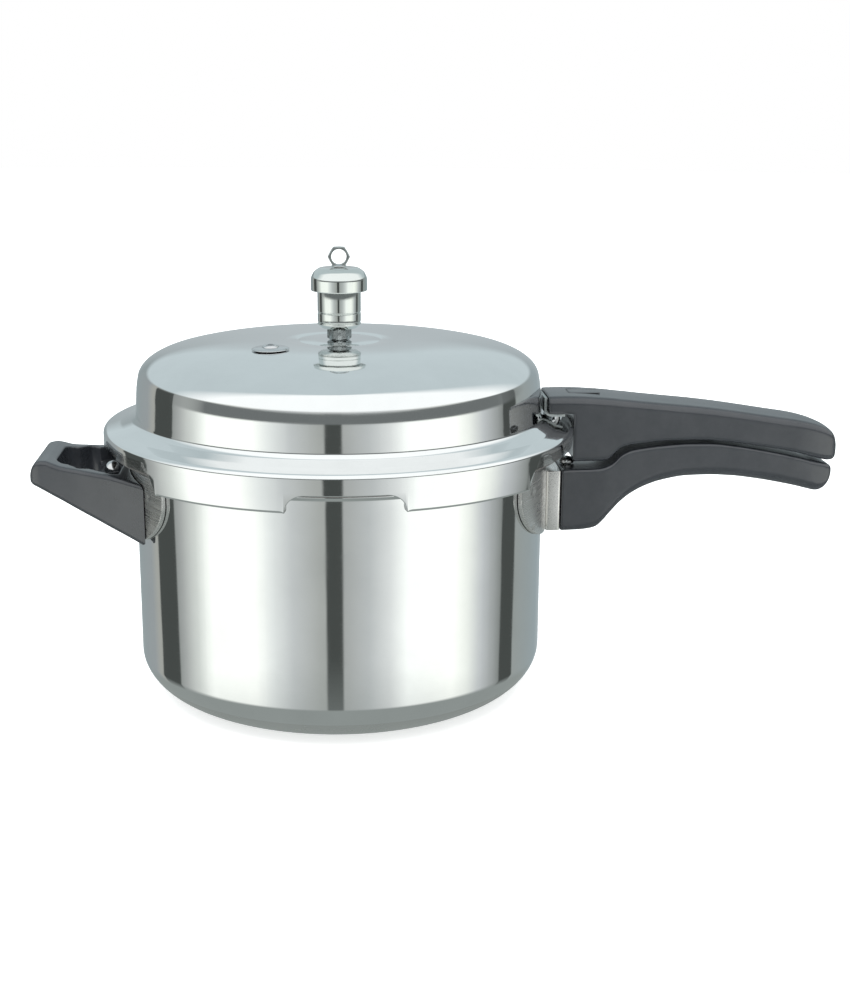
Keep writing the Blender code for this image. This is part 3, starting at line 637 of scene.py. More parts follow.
def domed(head_r, seat, rise, shank_r, tip):
    """A dome-headed screw, with fine threads on the lower part of its shank."""
    dome = [(head_r * cos(radians(t)), seat + 0.9 + (rise - 0.9) * sin(radians(t))) for t in range(0, 90, 6)]
    thread = []
    z = tip + PITCH
    while z < tip + 7.0:
        thread += [(shank_r, z), (shank_r - 0.4 * PITCH, z + 0.5 * PITCH)]
        z += PITCH
    foot = [(0, tip), (shank_r - 0.5, tip), (shank_r - 0.1, tip + 0.4)]
    neck = [(shank_r, z), (shank_r, seat), (head_r - 0.3, seat), (head_r, seat + 0.3)]
    return foot + thread + neck + dome + [(0, seat + rise)]


print("hexagon of 12 mm flats reaches", round(hex_reach(0.0, 12.0), 2), "mm at its corner")

# %% [markdown]
# ### The safety plug
#
# If the vent ever blocks, the tin alloy in the middle of this plug melts and lets the steam out.  From
# outside it is a low bright disc with a small raised boss; under the lid a nut holds it.  The lid's crown
# slopes a little where it sits, so the plug leans outwards with it.

# %% Turn the safety plug
plug_r = hypot(*PLUG)
plug_z = crown_z(plug_r)
lean = Matrix.Rotation(CROWN_POWER * (LID_TOP - plug_z) / plug_r, 4,
                       Vector((0, 0, 1)).cross(Vector((*PLUG, 0))).normalized())
plug_section = rounded([(2.2, 2.6, 0.3), (3.6, 2.6, 0.5), (4.3, 1.9, 0.4), (4.4, 1.45, 0.3),
                        (8.6, 1.25, 0.6), (9.7, 0.7, 0.4), (9.7, 0.4, 0.1), (5.5, 0.4, 0.1),
                        (5.5, -9.6, 0.4), (2.2, -9.6, 0.3)], 4)
melt = [(0, -9.2), (1.85, -9.2), (1.85, 2.2)] + arc(0, 2.2, 1.85, 0.85, 0, 90, 6)
plug_pieces = (("disc", plain_turn(plug_section, 96), "steel", "safety_plug_body"),
               ("core", plain_turn(melt, 48), "fusible_alloy", "safety_plug_alloy"),
               ("hex", hex_nut(-8.4, -3.2, 15.0, 5.85, 10), "steel", "safety_plug_nut"))
for name, mesh, slot, node in plug_pieces:
    keep("safety_plug_" + name, stood(mesh, *PLUG, plug_z, lean), "lid", slot, [node])

# %% [markdown]
# ### The vent pipe
#
# Steam leaves through a narrow bore in the middle of the lid.  Above the lid the pipe has a hexagon for the
# spanner and a plain nozzle that the weight drops over.  Below it is a washer and a nut.

# %% Turn the vent pipe
VENT_LOW, VENT_TOP = corners("vent_pipe")
HEX_LOW, HEX_HIGH = 190.65, 196.4


def vent_section(angle):
    reach = hex_reach(angle, 11.2)
    cut = max(0.0, reach - 5.8) * 0.6
    thread = []
    for i in range(9):
        z = VENT_LOW.z + 0.6 + 0.8 * i
        thread += [(4.05, z), (3.75, z + 0.4)]
    return ([(1.3, VENT_LOW.z), (3.6, VENT_LOW.z)] + thread + [(4.05, 186.2), (4.05, HEX_LOW), (5.4, HEX_LOW)]
            + [(reach, HEX_LOW + 0.35 + cut), (reach, HEX_HIGH - 0.35 - cut)]
            + [(5.4, HEX_HIGH), (3.6, HEX_HIGH)]
            + [(3.2, HEX_HIGH + 0.4), (3.2, 210.4)]
            + [(3.0, 211.2), (2.6, VENT_TOP.z), (1.3, VENT_TOP.z)])


keep("vent_nozzle", turned(vent_section, all_round(96)), "lid", "steel", ["vent_pipe"], dull_steel)
washer = rounded([(4.4, 185.9, 0.2), (9.0, 185.9, 0.4), (9.0, 187.2, 0.4), (4.4, 187.2, 0.2)], 3)
keep("vent_seal_washer", plain_turn(washer, 72), "lid", "rubber", ["vent_washer"])
keep("vent_lock_nut", hex_nut(180.4, 185.6, 14.0, 4.4, 15), "lid", "steel", ["vent_nut"])

# %% [markdown]
# ### The weight
#
# This is the part that rattles.  A heavy turned body hangs a needle over the vent's bore, and a cap with a
# small eye is pressed into its top so that a hook can lift it hot.  The body has two fine grooves.  The eye
# is bent from flat stock: round inside, softly six-sided outside.

# %% Turn the weight
BODY_LOW, BODY_HIGH = corners("weight_body")
CAP_LOW, CAP_HIGH = corners("weight_cap")
body_r = BODY_HIGH.x


def groove(z, depth=0.5, half=0.42):
    return [(body_r, z - half, 0.1), (body_r - depth, z - 0.1, 0.05), (body_r - depth, z + 0.1, 0.05),
            (body_r, z + half, 0.1)]


body_section = rounded([(5.2, BODY_LOW.z, 0.5), (9.6, BODY_LOW.z, 0.5), (body_r, BODY_LOW.z + 2.0, 0.5)]
                       + groove(199.9) + groove(205.2)
                       + [(body_r, BODY_HIGH.z, 0.3), (2.3, BODY_HIGH.z, 0.2)]
                       + [(2.3, 213.3, 0.2), (5.2, 213.3, 0.4)], 4)
keep("weight_barrel", plain_turn(body_section, 128), "weight", "nickel_plate", ["weight_body"])
cap_r = CAP_HIGH.x
cap_section = rounded([(0, 217.6, 0), (13.0, 217.6, 0.3), (13.3, CAP_LOW.z, 0.2), (cap_r, CAP_LOW.z, 0.5),
                       (cap_r, 223.4, 5.0), (13.4, 226.6, 4.0), (10.6, 228.5, 3.0), (8.6, CAP_HIGH.z, 1.0),
                       (3.4, CAP_HIGH.z, 0.3), (2.3, CAP_HIGH.z - 0.6, 0.2), (2.3, 223.0, 0.1),
                       (0, 223.0, 0)], 5)
keep("weight_crown", plain_turn(cap_section, 128), "weight", "nickel_plate", ["weight_cap"])
needle = [(0, 209.7), (0.3, 209.75), (0.55, 210.1), (0.9, 211.6), (1.9, 213.2), (1.9, 216.1), (0, 216.1)]
keep("weight_pin", plain_turn(needle, 48), "weight", "steel", ["weight_needle"])
clip = rounded([(3.6, 200.4, 0.3), (4.8, 200.4, 0.4), (4.8, 202.0, 0.4), (3.6, 202.0, 0.3)], 3)
keep("weight_spring_ring", plain_turn(clip, 64), "weight_spring", "steel", ["weight_clip"])

# %% Bend the eye
EYE_Z = 234.3


def eye_section(angle):
    out = 5.3 + 0.65 * (hex_reach(angle, 2.0) - 1.0) / (2 / sqrt(3) - 1)
    return rounded([(4.0, -1.6, 0.3), (out, -1.6, 0.5), (out, 1.6, 0.5), (4.0, 1.6, 0.3)], 4)


eye_ring = stood(turned(eye_section, all_round(96)), z=EYE_Z, turn=Matrix.Rotation(pi / 2, 4, "X"))
eye_stem = plain_turn([(0, 223.4), (1.7, 223.4), (2.0, 223.8), (2.0, 229.1), (3.9, 229.1), (4.0, 229.3),
                       (4.0, 229.6), (3.7, 229.8), (2.5, 230.1), (0, 230.5)], 48)
keep("weight_eye_foot", eye_stem, "weight", "steel", [])
keep("weight_lifting_eye", eye_ring, "weight", "steel", ["weight_eye"], dull_steel)

# %% [markdown]
# ## The brackets
#
# Two pressed plates are spot-welded to the pot's wall and carry the grips.  Each is a grid in angle and
# height, bent to the wall's radius, with D-shaped ends.  The long grip's plate is drawn out into a box that
# the grip butts against, and both have a tongue that the grip's screw goes through.

# %% Press the saddle plates
SADDLE_IN, SADDLE_OUT = POT_R + 0.35, POT_R + 2.5
SADDLE_HALF = 36.0
SADDLE_LOW, SADDLE_HIGH = 89.0, 128.5
TONGUE_LOW, TONGUE_HIGH = 103.0, 105.2
HELPER_TONGUE_LOW, HELPER_TONGUE_HIGH = 107.5, 109.7
WELDS = ((24.5, 0.0), (28.5, 9.5), (28.5, -9.5))


def saddle_mesh(side):
    """The plate on one side, 1 or -1, with a bevelled rim and the shallow dimples that spot welds leave."""
    mid = (SADDLE_LOW + SADDLE_HIGH) / 2
    corner_a, corner_z, top_a, top_z = 26.0, 28.0, 6.0, 4.5
    bm = bmesh.new()
    loops = []
    steps = 96
    for i in range(steps + 1):
        a = -SADDLE_HALF * cos(pi * i / steps)
        over = max(0.0, (abs(a) - (SADDLE_HALF - corner_a)) / corner_a)
        dip = 1 - sqrt(max(0.0, 1 - over * over))
        over = max(0.0, (abs(a) - (SADDLE_HALF - top_a)) / top_a)
        bottom = SADDLE_LOW + corner_z * dip
        top = SADDLE_HIGH - top_z * (1 - sqrt(max(0.0, 1 - over * over)))
        rows = [(SADDLE_IN, bottom), (SADDLE_OUT - 0.6, bottom), (SADDLE_OUT - 0.15, bottom + 0.2),
                (SADDLE_OUT, bottom + 0.7)]
        for k in range(1, 28):
            z = bottom + 0.7 + (top - bottom - 1.4) * k / 28
            weld = min(hypot((abs(a) - wa) * POT_R * pi / 180, z - mid - wz) for wa, wz in WELDS)
            rows.append((SADDLE_OUT - 0.45 * (1 - eased(weld, 1.2, 2.6)), z))
        rows += [(SADDLE_OUT, top - 0.7), (SADDLE_OUT - 0.15, top - 0.2), (SADDLE_OUT - 0.6, top)]
        rows.append((SADDLE_IN, top))
        c, s = cos(radians(a)), sin(radians(a))
        loops.append([bm.verts.new((side * r * c, r * s, z)) for r, z in rows])
    for one, two in zip(loops, loops[1:]):
        for j in range(len(one)):
            k = (j + 1) % len(one)
            bm.faces.new((one[j], one[k], two[k], two[j]))
    bm.faces.new(loops[0])
    bm.faces.new(loops[-1][::-1])
    return bm


def block(low, high, edge=0.4, upright_edge=None):
    """A box with rounded edges; the upright ones may be rounder."""
    bm = bmesh.new()
    bmesh.ops.create_cube(bm, size=1.0)
    size = Vector(high) - Vector(low)
    bmesh.ops.scale(bm, vec=size, verts=bm.verts)
    bmesh.ops.translate(bm, vec=Vector(low) + size / 2, verts=bm.verts)
    if upright_edge:
        upright = [e for e in bm.edges if abs((e.verts[0].co - e.verts[1].co).z) > 1e-6]
        bmesh.ops.bevel(bm, geom=upright, offset=upright_edge, segments=5, profile=0.5, affect="EDGES")
    bmesh.ops.bevel(bm, geom=[e for e in bm.edges if e.calc_face_angle(0) > 0.7], offset=edge, segments=3,
                    profile=0.5, affect="EDGES")
    return bm


GRIP_FRONT = corners("lower_handle")[0].x
main_box = block((111.2, -17.4, 87.2), (GRIP_FRONT - 0.3, 17.4, 120.4), 0.35, 1.6)
main_tongue = block((117.0, -10.0, TONGUE_LOW), (133.0, 10.0, TONGUE_HIGH))
helper_tongue = block((-129.5, -10.0, HELPER_TONGUE_LOW), (-111.4, 10.0, HELPER_TONGUE_HIGH))
for name, mesh, node in (("main_saddle", saddle_mesh(1), ["main_bracket"]), ("main_saddle_box", main_box, []),
                         ("main_saddle_tongue", main_tongue, []),
                         ("helper_saddle", saddle_mesh(-1), ["helper_bracket"]),
                         ("helper_saddle_tongue", helper_tongue, [])):
    keep(name, mesh, "pot", "satin_bracket", node)

# %% [markdown]
# ## The grips
#
# Each grip is drawn as a row of stations along its length: bottom, top, half width and the two corner radii.
# A smooth curve through the stations gives as many sections as we like, and a skin is stretched over them.
# The slots and pockets are cut with Booleans.  Then the whole grip is remeshed on a half-millimetre grid and
# smoothed a little, which rounds every edge as a real mould does and leaves no seam between cut and skin.

# %% Curves through stations
def at_station(rows, x):
    """All the values of the rows at x, on a smooth curve that never overshoots."""
    xs = [row[0] for row in rows]
    i = max(0, min(len(xs) - 2, sum(1 for v in xs if v <= x) - 1))
    h = xs[i + 1] - xs[i]
    t = (x - xs[i]) / h
    found = []
    for k in range(1, len(rows[0])):
        def slope(j):
            if j <= 0 or j >= len(xs) - 1:
                return None
            before = (rows[j][k] - rows[j - 1][k]) / (xs[j] - xs[j - 1])
            after = (rows[j + 1][k] - rows[j][k]) / (xs[j + 1] - xs[j])
            return 0.0 if before * after <= 0 else 2 * before * after / (before + after)
        chord = (rows[i + 1][k] - rows[i][k]) / h
        m0 = slope(i) if slope(i) is not None else chord
        m1 = slope(i + 1) if slope(i + 1) is not None else chord
        found.append(rows[i][k] * (2 * t ** 3 - 3 * t ** 2 + 1) + h * m0 * (t ** 3 - 2 * t ** 2 + t)
                     + rows[i + 1][k] * (3 * t ** 2 - 2 * t ** 3) + h * m1 * (t ** 3 - t ** 2))
    return found


def grip_loop(x, low, high, half, top_r, low_r, crown=0.0):
    """A grip's section: a rounded rectangle in y and z, with a slightly crowned top."""
    right = []
    for cy, cz, r, start in ((half - low_r, low + low_r, low_r, -90), (half - top_r, high - top_r, top_r, 0)):
        right += arc(cy, cz, r, r, start, start + 90, 10)
    right += [(half * 0.25, high + crown * 0.85)]
    loop = right + [(0.0, high + crown)] + [(-y, z) for y, z in right[::-1]]
    return [(x, y, z) for y, z in loop]


def skinned(loops):
    bm = bmesh.new()
    rings_of = [[bm.verts.new(p) for p in loop] for loop in loops]
    for one, two in zip(rings_of, rings_of[1:]):
        for i in range(len(one)):
            k = (i + 1) % len(one)
            bm.faces.new((one[i], one[k], two[k], two[i]))
    bm.faces.new(rings_of[0])
    bm.faces.new(rings_of[-1][::-1])
    return bm


def spaced(start, end, steps):
    return [start + (end - start) * i / steps for i in range(steps + 1)]


print("the curve passes through its stations:", at_station([(0, 1.0), (1, 3.0), (2, 4.0)], 1.0))

# %% Cutting and softening
def plan_bar(outline, low, high):
    """An upright bar with any plan outline, for cutting."""
    bm = bmesh.new()
    bottom = [bm.verts.new((x, y, low)) for x, y in outline]
    top = [bm.verts.new((x, y, high)) for x, y in outline]
    bm.faces.new(bottom[::-1])
    bm.faces.new(top)
    for i in range(len(outline)):
        k = (i + 1) % len(outline)
        bm.faces.new((bottom[i], bottom[k], top[k], top[i]))
    return bm


def softened(piece, cell, passes):
    """Remeshes on a grid of that many millimetres, smooths, and keeps the finish."""
    finish = piece.data.materials[0]
    step = piece.modifiers.new("grid", "REMESH")
    step.mode = "VOXEL"
    step.voxel_size = cell * MM
    step.use_smooth_shade = True
    smooth = piece.modifiers.new("soften", "SMOOTH")
    smooth.factor = 0.5
    smooth.iterations = passes
    settle(piece)
    piece.data.materials.clear()
    piece.data.materials.append(finish)
    piece.data.shade_smooth()
    print(f"{piece.name}: {len(piece.data.polygons)} faces after softening")


CRISP = 0.01               # the edge of a block that only cuts
print("cutting tools ready")

# %% [markdown]
# ### The long grip's lower half
#
# It stands on the pot's bracket, drops away in a knee, and then swings up and out under its twin.

# %% Mould the lower grip
LOWER_GRIP = (
    (GRIP_FRONT, 86.4, 120.9, 17.4, 1.2, 3.0), (130.0, 86.5, 121.1, 17.4, 1.2, 4.0),
    (136.5, 87.0, 121.2, 17.4, 1.2, 5.0), (140.0, 88.0, 121.4, 17.4, 1.2, 5.5),
    (142.6, 90.2, 121.9, 17.4, 1.2, 6.0), (147.3, 95.6, 124.0, 17.2, 1.2, 6.0),
    (152.6, 101.4, 129.0, 17.0, 1.3, 6.0), (158.0, 105.8, 131.4, 16.8, 1.4, 6.0),
    (165.0, 109.7, 132.6, 16.5, 1.5, 6.0), (175.0, 113.2, 133.7, 16.2, 1.5, 6.0),
    (190.0, 115.7, 134.6, 16.0, 1.5, 6.0), (202.0, 116.0, 134.5, 16.0, 1.5, 6.0),
    (214.0, 115.4, 133.2, 15.9, 1.5, 6.0), (228.0, 113.6, 130.9, 15.7, 1.5, 6.0),
    (241.0, 111.2, 128.3, 15.4, 1.5, 6.0), (253.0, 108.5, 125.5, 14.8, 1.6, 6.0),
    (258.5, 107.0, 124.0, 14.4, 2.0, 6.0), (263.5, 106.0, 122.9, 13.6, 2.2, 5.5),
    (267.5, 107.4, 121.9, 12.6, 2.4, 5.0), (270.0, 110.8, 120.8, 11.6, 2.4, 3.6),
    (271.3, 114.2, 119.6, 10.0, 2.0, 2.4),
)
SCREW_X, HELPER_SCREW_X = 124.6, 123.0


def grip_from(name, rows, body, node, crown=0.0, steps=150):
    start, end = rows[0][0], rows[-1][0]
    loops = [grip_loop(x, *at_station(rows, x), crown) for x in spaced(start, end, steps)]
    return keep(name, skinned(loops), body, "bakelite", [node])


lower = grip_from("lower_grip", LOWER_GRIP, "pot", "lower_handle")
tongue_slot = block((GRIP_FRONT - 2, -10.4, TONGUE_LOW - 0.4), (133.5, 10.4, TONGUE_HIGH + 0.4), CRISP)
nut_pocket, screw_bore = post(SCREW_X, 0, 4.6, 80.0, 93.9), post(SCREW_X, 0, 2.6, 92.0, 125.0)
carve(lower, tongue_slot, nut_pocket, screw_bore)
softened(lower, 0.6, 6)

# %% [markdown]
# ### The long grip's upper half
#
# This half is screwed to the lid and lies over the lower one when the lid is locked.  Its back is a broad
# flat face with rounded edges.  At the lid end the mould leaves room for the skirt, which is why a round bar
# as wide as the skirt is cut from underneath.  A small sunk panel on the back holds a plain plate.

# %% Mould the upper grip
UPPER_GRIP = (
    (111.7, 125.4, 161.0, 17.2, 4.2, 2.0), (120.0, 125.4, 161.2, 17.3, 4.2, 2.0),
    (130.0, 125.4, 161.0, 17.4, 4.2, 2.5), (141.0, 125.5, 160.3, 17.4, 4.2, 3.0),
    (145.0, 126.0, 160.0, 17.4, 4.2, 3.0), (148.0, 129.0, 159.7, 17.4, 4.2, 3.0),
    (152.0, 132.6, 159.2, 17.4, 4.2, 2.6), (157.0, 134.2, 158.7, 17.3, 4.2, 2.2),
    (165.0, 135.2, 157.8, 17.1, 4.2, 2.0), (178.0, 136.3, 156.5, 16.9, 4.2, 2.0),
    (195.0, 136.6, 154.8, 16.7, 4.2, 2.0), (210.0, 135.4, 152.9, 16.6, 4.2, 2.0),
    (224.0, 133.5, 150.8, 16.5, 4.2, 2.0), (238.0, 131.2, 148.6, 16.3, 4.2, 2.0),
    (251.0, 128.4, 146.6, 16.0, 4.2, 2.4), (258.5, 126.2, 144.9, 15.3, 4.2, 3.0),
    (265.0, 124.2, 142.7, 14.2, 4.2, 3.6), (269.6, 123.3, 140.2, 12.8, 4.4, 4.0),
    (272.4, 123.6, 137.0, 10.8, 4.2, 3.6), (273.6, 125.0, 133.4, 8.6, 3.0, 2.6),
)
LEG_SCREW_X, LEG_SCREW_Z = 110.0, 156.6
ON_SIDE = Matrix.Rotation(-pi / 2, 4, "Y")       # lays an upright piece along x, its top towards the lid
upper = grip_from("upper_grip", UPPER_GRIP, "lid", "upper_handle", crown=0.5)
level_bore = stood(plain_turn([(0, -24), (2.3, -24), (2.3, 3), (0, 3)], 48), 108.0, 0, LEG_SCREW_Z, ON_SIDE)
skirt_room = post(0, 0, SKIRT_R + 0.45, 118.0, 151.8, 288)
rivet_room = block((109.0, -13.5, 148.0), (121.8, 13.5, 154.6), CRISP)
plate_recess = block((124.0, -6.2, 160.4), (141.5, 6.2, 164.0), CRISP)
carve(upper, skirt_room, rivet_room, level_bore, plate_recess)
softened(upper, 0.6, 6)
plate = block((124.4, -5.8, 160.75), (141.1, 5.8, 161.35), 0.25)
keep("grip_plate", plate, "lid", "bakelite", ["handle_badge"])

# %% [markdown]
# ### The loop grip
#
# Opposite the long grip is a short loop for the other hand.  Seen from above it is a frame that narrows away
# from the pot; seen from the side it is a wedge.  Between the frame and the pot the mould is sunk, and a
# dome-headed screw stands in the hollow.

# %% Mould the loop grip
LOOP_GRIP = (
    (-163.6, 118.6, 123.2, 20.5), (-162.2, 117.6, 127.0, 23.5), (-159.0, 116.2, 130.6, 25.2),
    (-155.2, 114.3, 131.0, 26.2), (-151.5, 112.4, 130.0, 27.2), (-147.0, 110.2, 128.6, 28.5),
    (-140.0, 106.6, 127.7, 30.6), (-133.0, 103.2, 126.9, 33.0), (-127.0, 100.5, 126.3, 35.4),
    (-121.0, 97.7, 125.8, 38.0), (-115.0, 95.2, 124.9, 41.0), (-109.0, 92.8, 123.9, 44.4),
    (-103.0, 90.4, 123.1, 48.2), (-99.0, 89.0, 122.7, 51.0),
)


def loop_section(x):
    low, high, half = at_station(LOOP_GRIP, x)
    return grip_loop(x, low, high, half, min(2.2, (high - low) * 0.3), min(2.6, (high - low) * 0.3))


def flared_plan(x0, x1, wall, radius):
    """A rounded trapezium in plan that follows the flare of the side walls."""
    w0 = at_station(LOOP_GRIP, x0)[2] - wall
    w1 = at_station(LOOP_GRIP, x1)[2] - wall
    found = []
    for cx, cy, start in ((x1 - radius, w1 - radius, 0), (x0 + radius, w0 - radius, 90),
                          (x0 + radius, -w0 + radius, 180), (x1 - radius, -w1 + radius, 270)):
        found += arc(cx, cy, radius, radius, start, start + 90, 10)
    return found


loop_skin = skinned([loop_section(x) for x in spaced(LOOP_GRIP[0][0], LOOP_GRIP[-1][0], 90)])
loop = keep("loop_grip", loop_skin, "pot", "bakelite", ["helper_handle"])
pot_room = post(0, 0, SADDLE_OUT + 0.4, 80.0, 140.0, 288)
finger_hole = plan_bar(flared_plan(-150.2, -130.5, 7.4, 7.0), 80.0, 140.0)
screw_hollow = plan_bar(flared_plan(-139.0, -116.2, 7.8, 4.0), 118.3, 140.0)
loop_slot = block((-130.0, -10.4, HELPER_TONGUE_LOW - 0.4), (-110.0, 10.4, HELPER_TONGUE_HIGH + 0.4), CRISP)
carve(loop, pot_room, finger_hole, screw_hollow, loop_slot,
      post(-HELPER_SCREW_X, 0, 5.2, 80.0, 105.0), post(-HELPER_SCREW_X, 0, 2.6, 103.0, 122.0))
softened(loop, 0.55, 6)

# %% [markdown]
# ## Fasteners and the lid's bracket
#
# Bright domed screws hold the grips to the pot, each with a nut sunk in the bakelite.  On the lid an angle
# of sheet is riveted to the flange, and one level screw goes from it into the upper grip.

# %% Fit the fasteners
SHANK_R = 2.2


def upright_screw(name, x, seat, head_r, rise, tip, node):
    keep(name, stood(plain_turn(domed(head_r, seat, rise, SHANK_R, tip), 64), x), "pot", "steel", [node])


upright_screw("lower_grip_screw", SCREW_X, 121.5, 4.3, 3.6, 87.2, "lower_handle_screw")
upright_screw("loop_grip_screw", -HELPER_SCREW_X, 118.7, 4.4, 6.2, 99.8, "helper_handle_screw")
keep("lower_grip_nut", stood(hex_nut(88.4, 93.6, 7.0, 2.5), SCREW_X), "pot", "steel", ["lower_handle_nut"])
keep("loop_grip_nut", stood(hex_nut(100.6, 104.6, 7.6, 2.5, 8.0), -HELPER_SCREW_X), "pot", "steel",
     ["helper_handle_nut"])
for (x, y), tag in zip(RIVETS, ("left", "right")):
    rivet = rounded([(0, 142.9, 0), (2.6, 142.9, 0.5), (3.3, 143.3, 0.4), (3.3, 144.0, 0.2),
                     (2.0, 144.0, 0.1), (2.0, 151.7, 0.1), (3.5, 151.7, 0.2), (3.4, 152.4, 0.5),
                     (2.2, 153.4, 1.2), (0, 153.6, 0)], 4)
    keep("flange_rivet_" + tag, stood(plain_turn(rivet, 64), x, y), "lid", "steel",
         ["lid_bracket_rivet_" + tag])
sunk_head = rounded([(0, -21.4, 0), (1.6, -21.4, 0.2), (2.0, -20.6, 0.2), (2.0, -1.5, 0.2),
                     (3.85, 0.35, 0.2), (0, 0.35, 0)], 4)
keep("upper_grip_screw", stood(plain_turn(sunk_head, 64), LEG_SCREW_X, 0, LEG_SCREW_Z, ON_SIDE),
     "lid", "steel", ["upper_handle_screw"])

# %% Bend the lid's angle bracket
ANGLE_LOW, ANGLE_HIGH = corners("lid_bracket")
foot_top, leg_back = 151.4, 111.3
side_view = rounded([(ANGLE_LOW.x, ANGLE_LOW.z, 4.2), (ANGLE_HIGH.x, ANGLE_LOW.z, 0.3),
                     (ANGLE_HIGH.x, foot_top, 0.4), (leg_back, foot_top, 2.0),
                     (leg_back, ANGLE_HIGH.z, 0.4), (ANGLE_LOW.x, ANGLE_HIGH.z, 0.4)], 5)
bm = bmesh.new()
ends = [[bm.verts.new((x, y, z)) for x, z in side_view] for y in (ANGLE_LOW.y, ANGLE_HIGH.y)]
bm.faces.new(ends[0])
bm.faces.new(ends[1][::-1])
for i in range(len(side_view)):
    k = (i + 1) % len(side_view)
    bm.faces.new((ends[0][i], ends[1][i], ends[1][k], ends[0][k]))
angle = keep("lid_angle_bracket", bm, "lid", "satin_bracket", ["lid_bracket"], dull_steel)
sunk_hole = plain_turn([(0, -6), (2.4, -6), (2.4, -1.5), (4.6, 0.7), (4.6, 3), (0, 3)], 48)
carve(angle, *[post(x, y, 2.4, 146.0, 154.0, 48) for x, y in RIVETS],
      stood(sunk_hole, LEG_SCREW_X, 0, LEG_SCREW_Z, ON_SIDE))
edge = angle.modifiers.new("edge", "BEVEL")
edge.width = 0.25 * MM
edge.segments = 2
edge.limit_method = "ANGLE"
edge.angle_limit = radians(50)
settle(angle)
angle.data.shade_smooth()
angle.data.set_sharp_from_angle(angle=SHARP)

# %% [markdown]
# ## The studio
#
# A mirror shows the room and not itself, so polished metal is lit by what stands round it.  A photographer
# hangs white cloth on every side and leaves narrow dark gaps in it: the cloth gives the broad bright faces,
# and the gaps give the crisp dark strips that make metal read as metal.  A darker line runs round the front
# at eye level, and draws the edge between the lid's shoulder and its side wall.  Here the room is a world
# shader that asks only which way a ray goes.  The floor is plain and pale.

# %% Build the white room
# Bearings run from 0 at the camera's side, positive to the right, in degrees; each has its cloth's colour.
CLOTH = (
    (-180, (0.50, 0.55, 0.57)), (-160, (0.31, 0.36, 0.37)), (-135, (0.34, 0.37, 0.38)),
    (-127, (0.42, 0.43, 0.40)), (-109, (0.26, 0.28, 0.27)), (-100, (0.44, 0.46, 0.45)),
    (-88, (0.78, 0.82, 0.78)), (-78, (1.22, 1.26, 1.20)), (-50, (1.24, 1.27, 1.21)),
    (-40, (0.92, 0.96, 0.94)), (-28, (0.62, 0.65, 0.65)), (-12, (0.44, 0.46, 0.44)),
    (2, (0.45, 0.47, 0.46)), (14, (0.56, 0.59, 0.59)), (26, (0.82, 0.85, 0.84)), (36, (1.20, 1.24, 1.20)),
    (64, (1.26, 1.29, 1.22)), (74, (1.00, 1.04, 0.98)), (84, (0.62, 0.65, 0.66)), (100, (0.27, 0.29, 0.28)),
    (114, (0.34, 0.37, 0.36)), (150, (0.33, 0.39, 0.41)), (180, (0.50, 0.55, 0.57)),
)
FRONT_MIDDLE = 8.0         # bearing of the front's middle, in degrees
# Each gap in the cloth has the bearing of its middle, and half its width, in degrees.
GAPS = ((-115.0, 9.3), (-4.8, 4.6), (107.4, 6.6))
# Each pair is where a change starts and stops: in degrees of height, and of bearing for FRONT_END.
GAP_FADE, ROOF_FADE, GROUND_FADE = (6.0, 14.0), (9.0, 13.0), (-30.0, -23.0)
LINE_BOTTOM, LINE_TOP, FRONT_END = (-2.5, -0.5), (8.5, 12.0), (88.0, 118.0)
GAP_DARK = (0.070, 0.078, 0.074)
GROUND = (0.30, 0.33, 0.32)
HORIZON = (0.17, 0.185, 0.185)      # the darker line at eye level
BACK_ROOF = (0.58, 0.665, 0.69)
FRONT_ROOF = (1.15, 1.18, 1.18)

world = bpy.data.worlds.new("white_room")
bpy.context.scene.world = world
world.use_nodes = True
nodes, links = world.node_tree.nodes, world.node_tree.links
parts = nodes.new("ShaderNodeSeparateXYZ")
links.new(nodes.new("ShaderNodeTexCoord").outputs["Generated"], parts.inputs[0])
to_camera = maths(nodes, links, "MULTIPLY", parts.outputs[1], -1.0)
bearing = maths(nodes, links, "ARCTAN2", parts.outputs[0], to_camera)
bearing = maths(nodes, links, "MULTIPLY", bearing, 180 / pi)
height = maths(nodes, links, "MULTIPLY", maths(nodes, links, "ARCSINE", parts.outputs[2]), 180 / pi)


def ramp(value, low, high, stops):
    """A colour ramp over a range, from (place, colour) stops."""
    node = nodes.new("ShaderNodeValToRGB")
    links.new(mapped(nodes, links, value, 0.0, 1.0, low, high), node.inputs[0])
    while len(node.color_ramp.elements) < len(stops):
        node.color_ramp.elements.new(0.5)
    for element, (place, colour) in zip(node.color_ramp.elements, stops):
        element.position = (place - low) / (high - low)
        element.color = (*colour, 1.0)
    return node.outputs[0]


def mixed(share, first, second):
    node = nodes.new("ShaderNodeMixRGB")
    feed(links, node.inputs[0], share)
    for socket, colour in ((node.inputs[1], first), (node.inputs[2], second)):
        feed(links, socket, (*colour, 1.0) if isinstance(colour, tuple) else colour)
    return node.outputs[0]


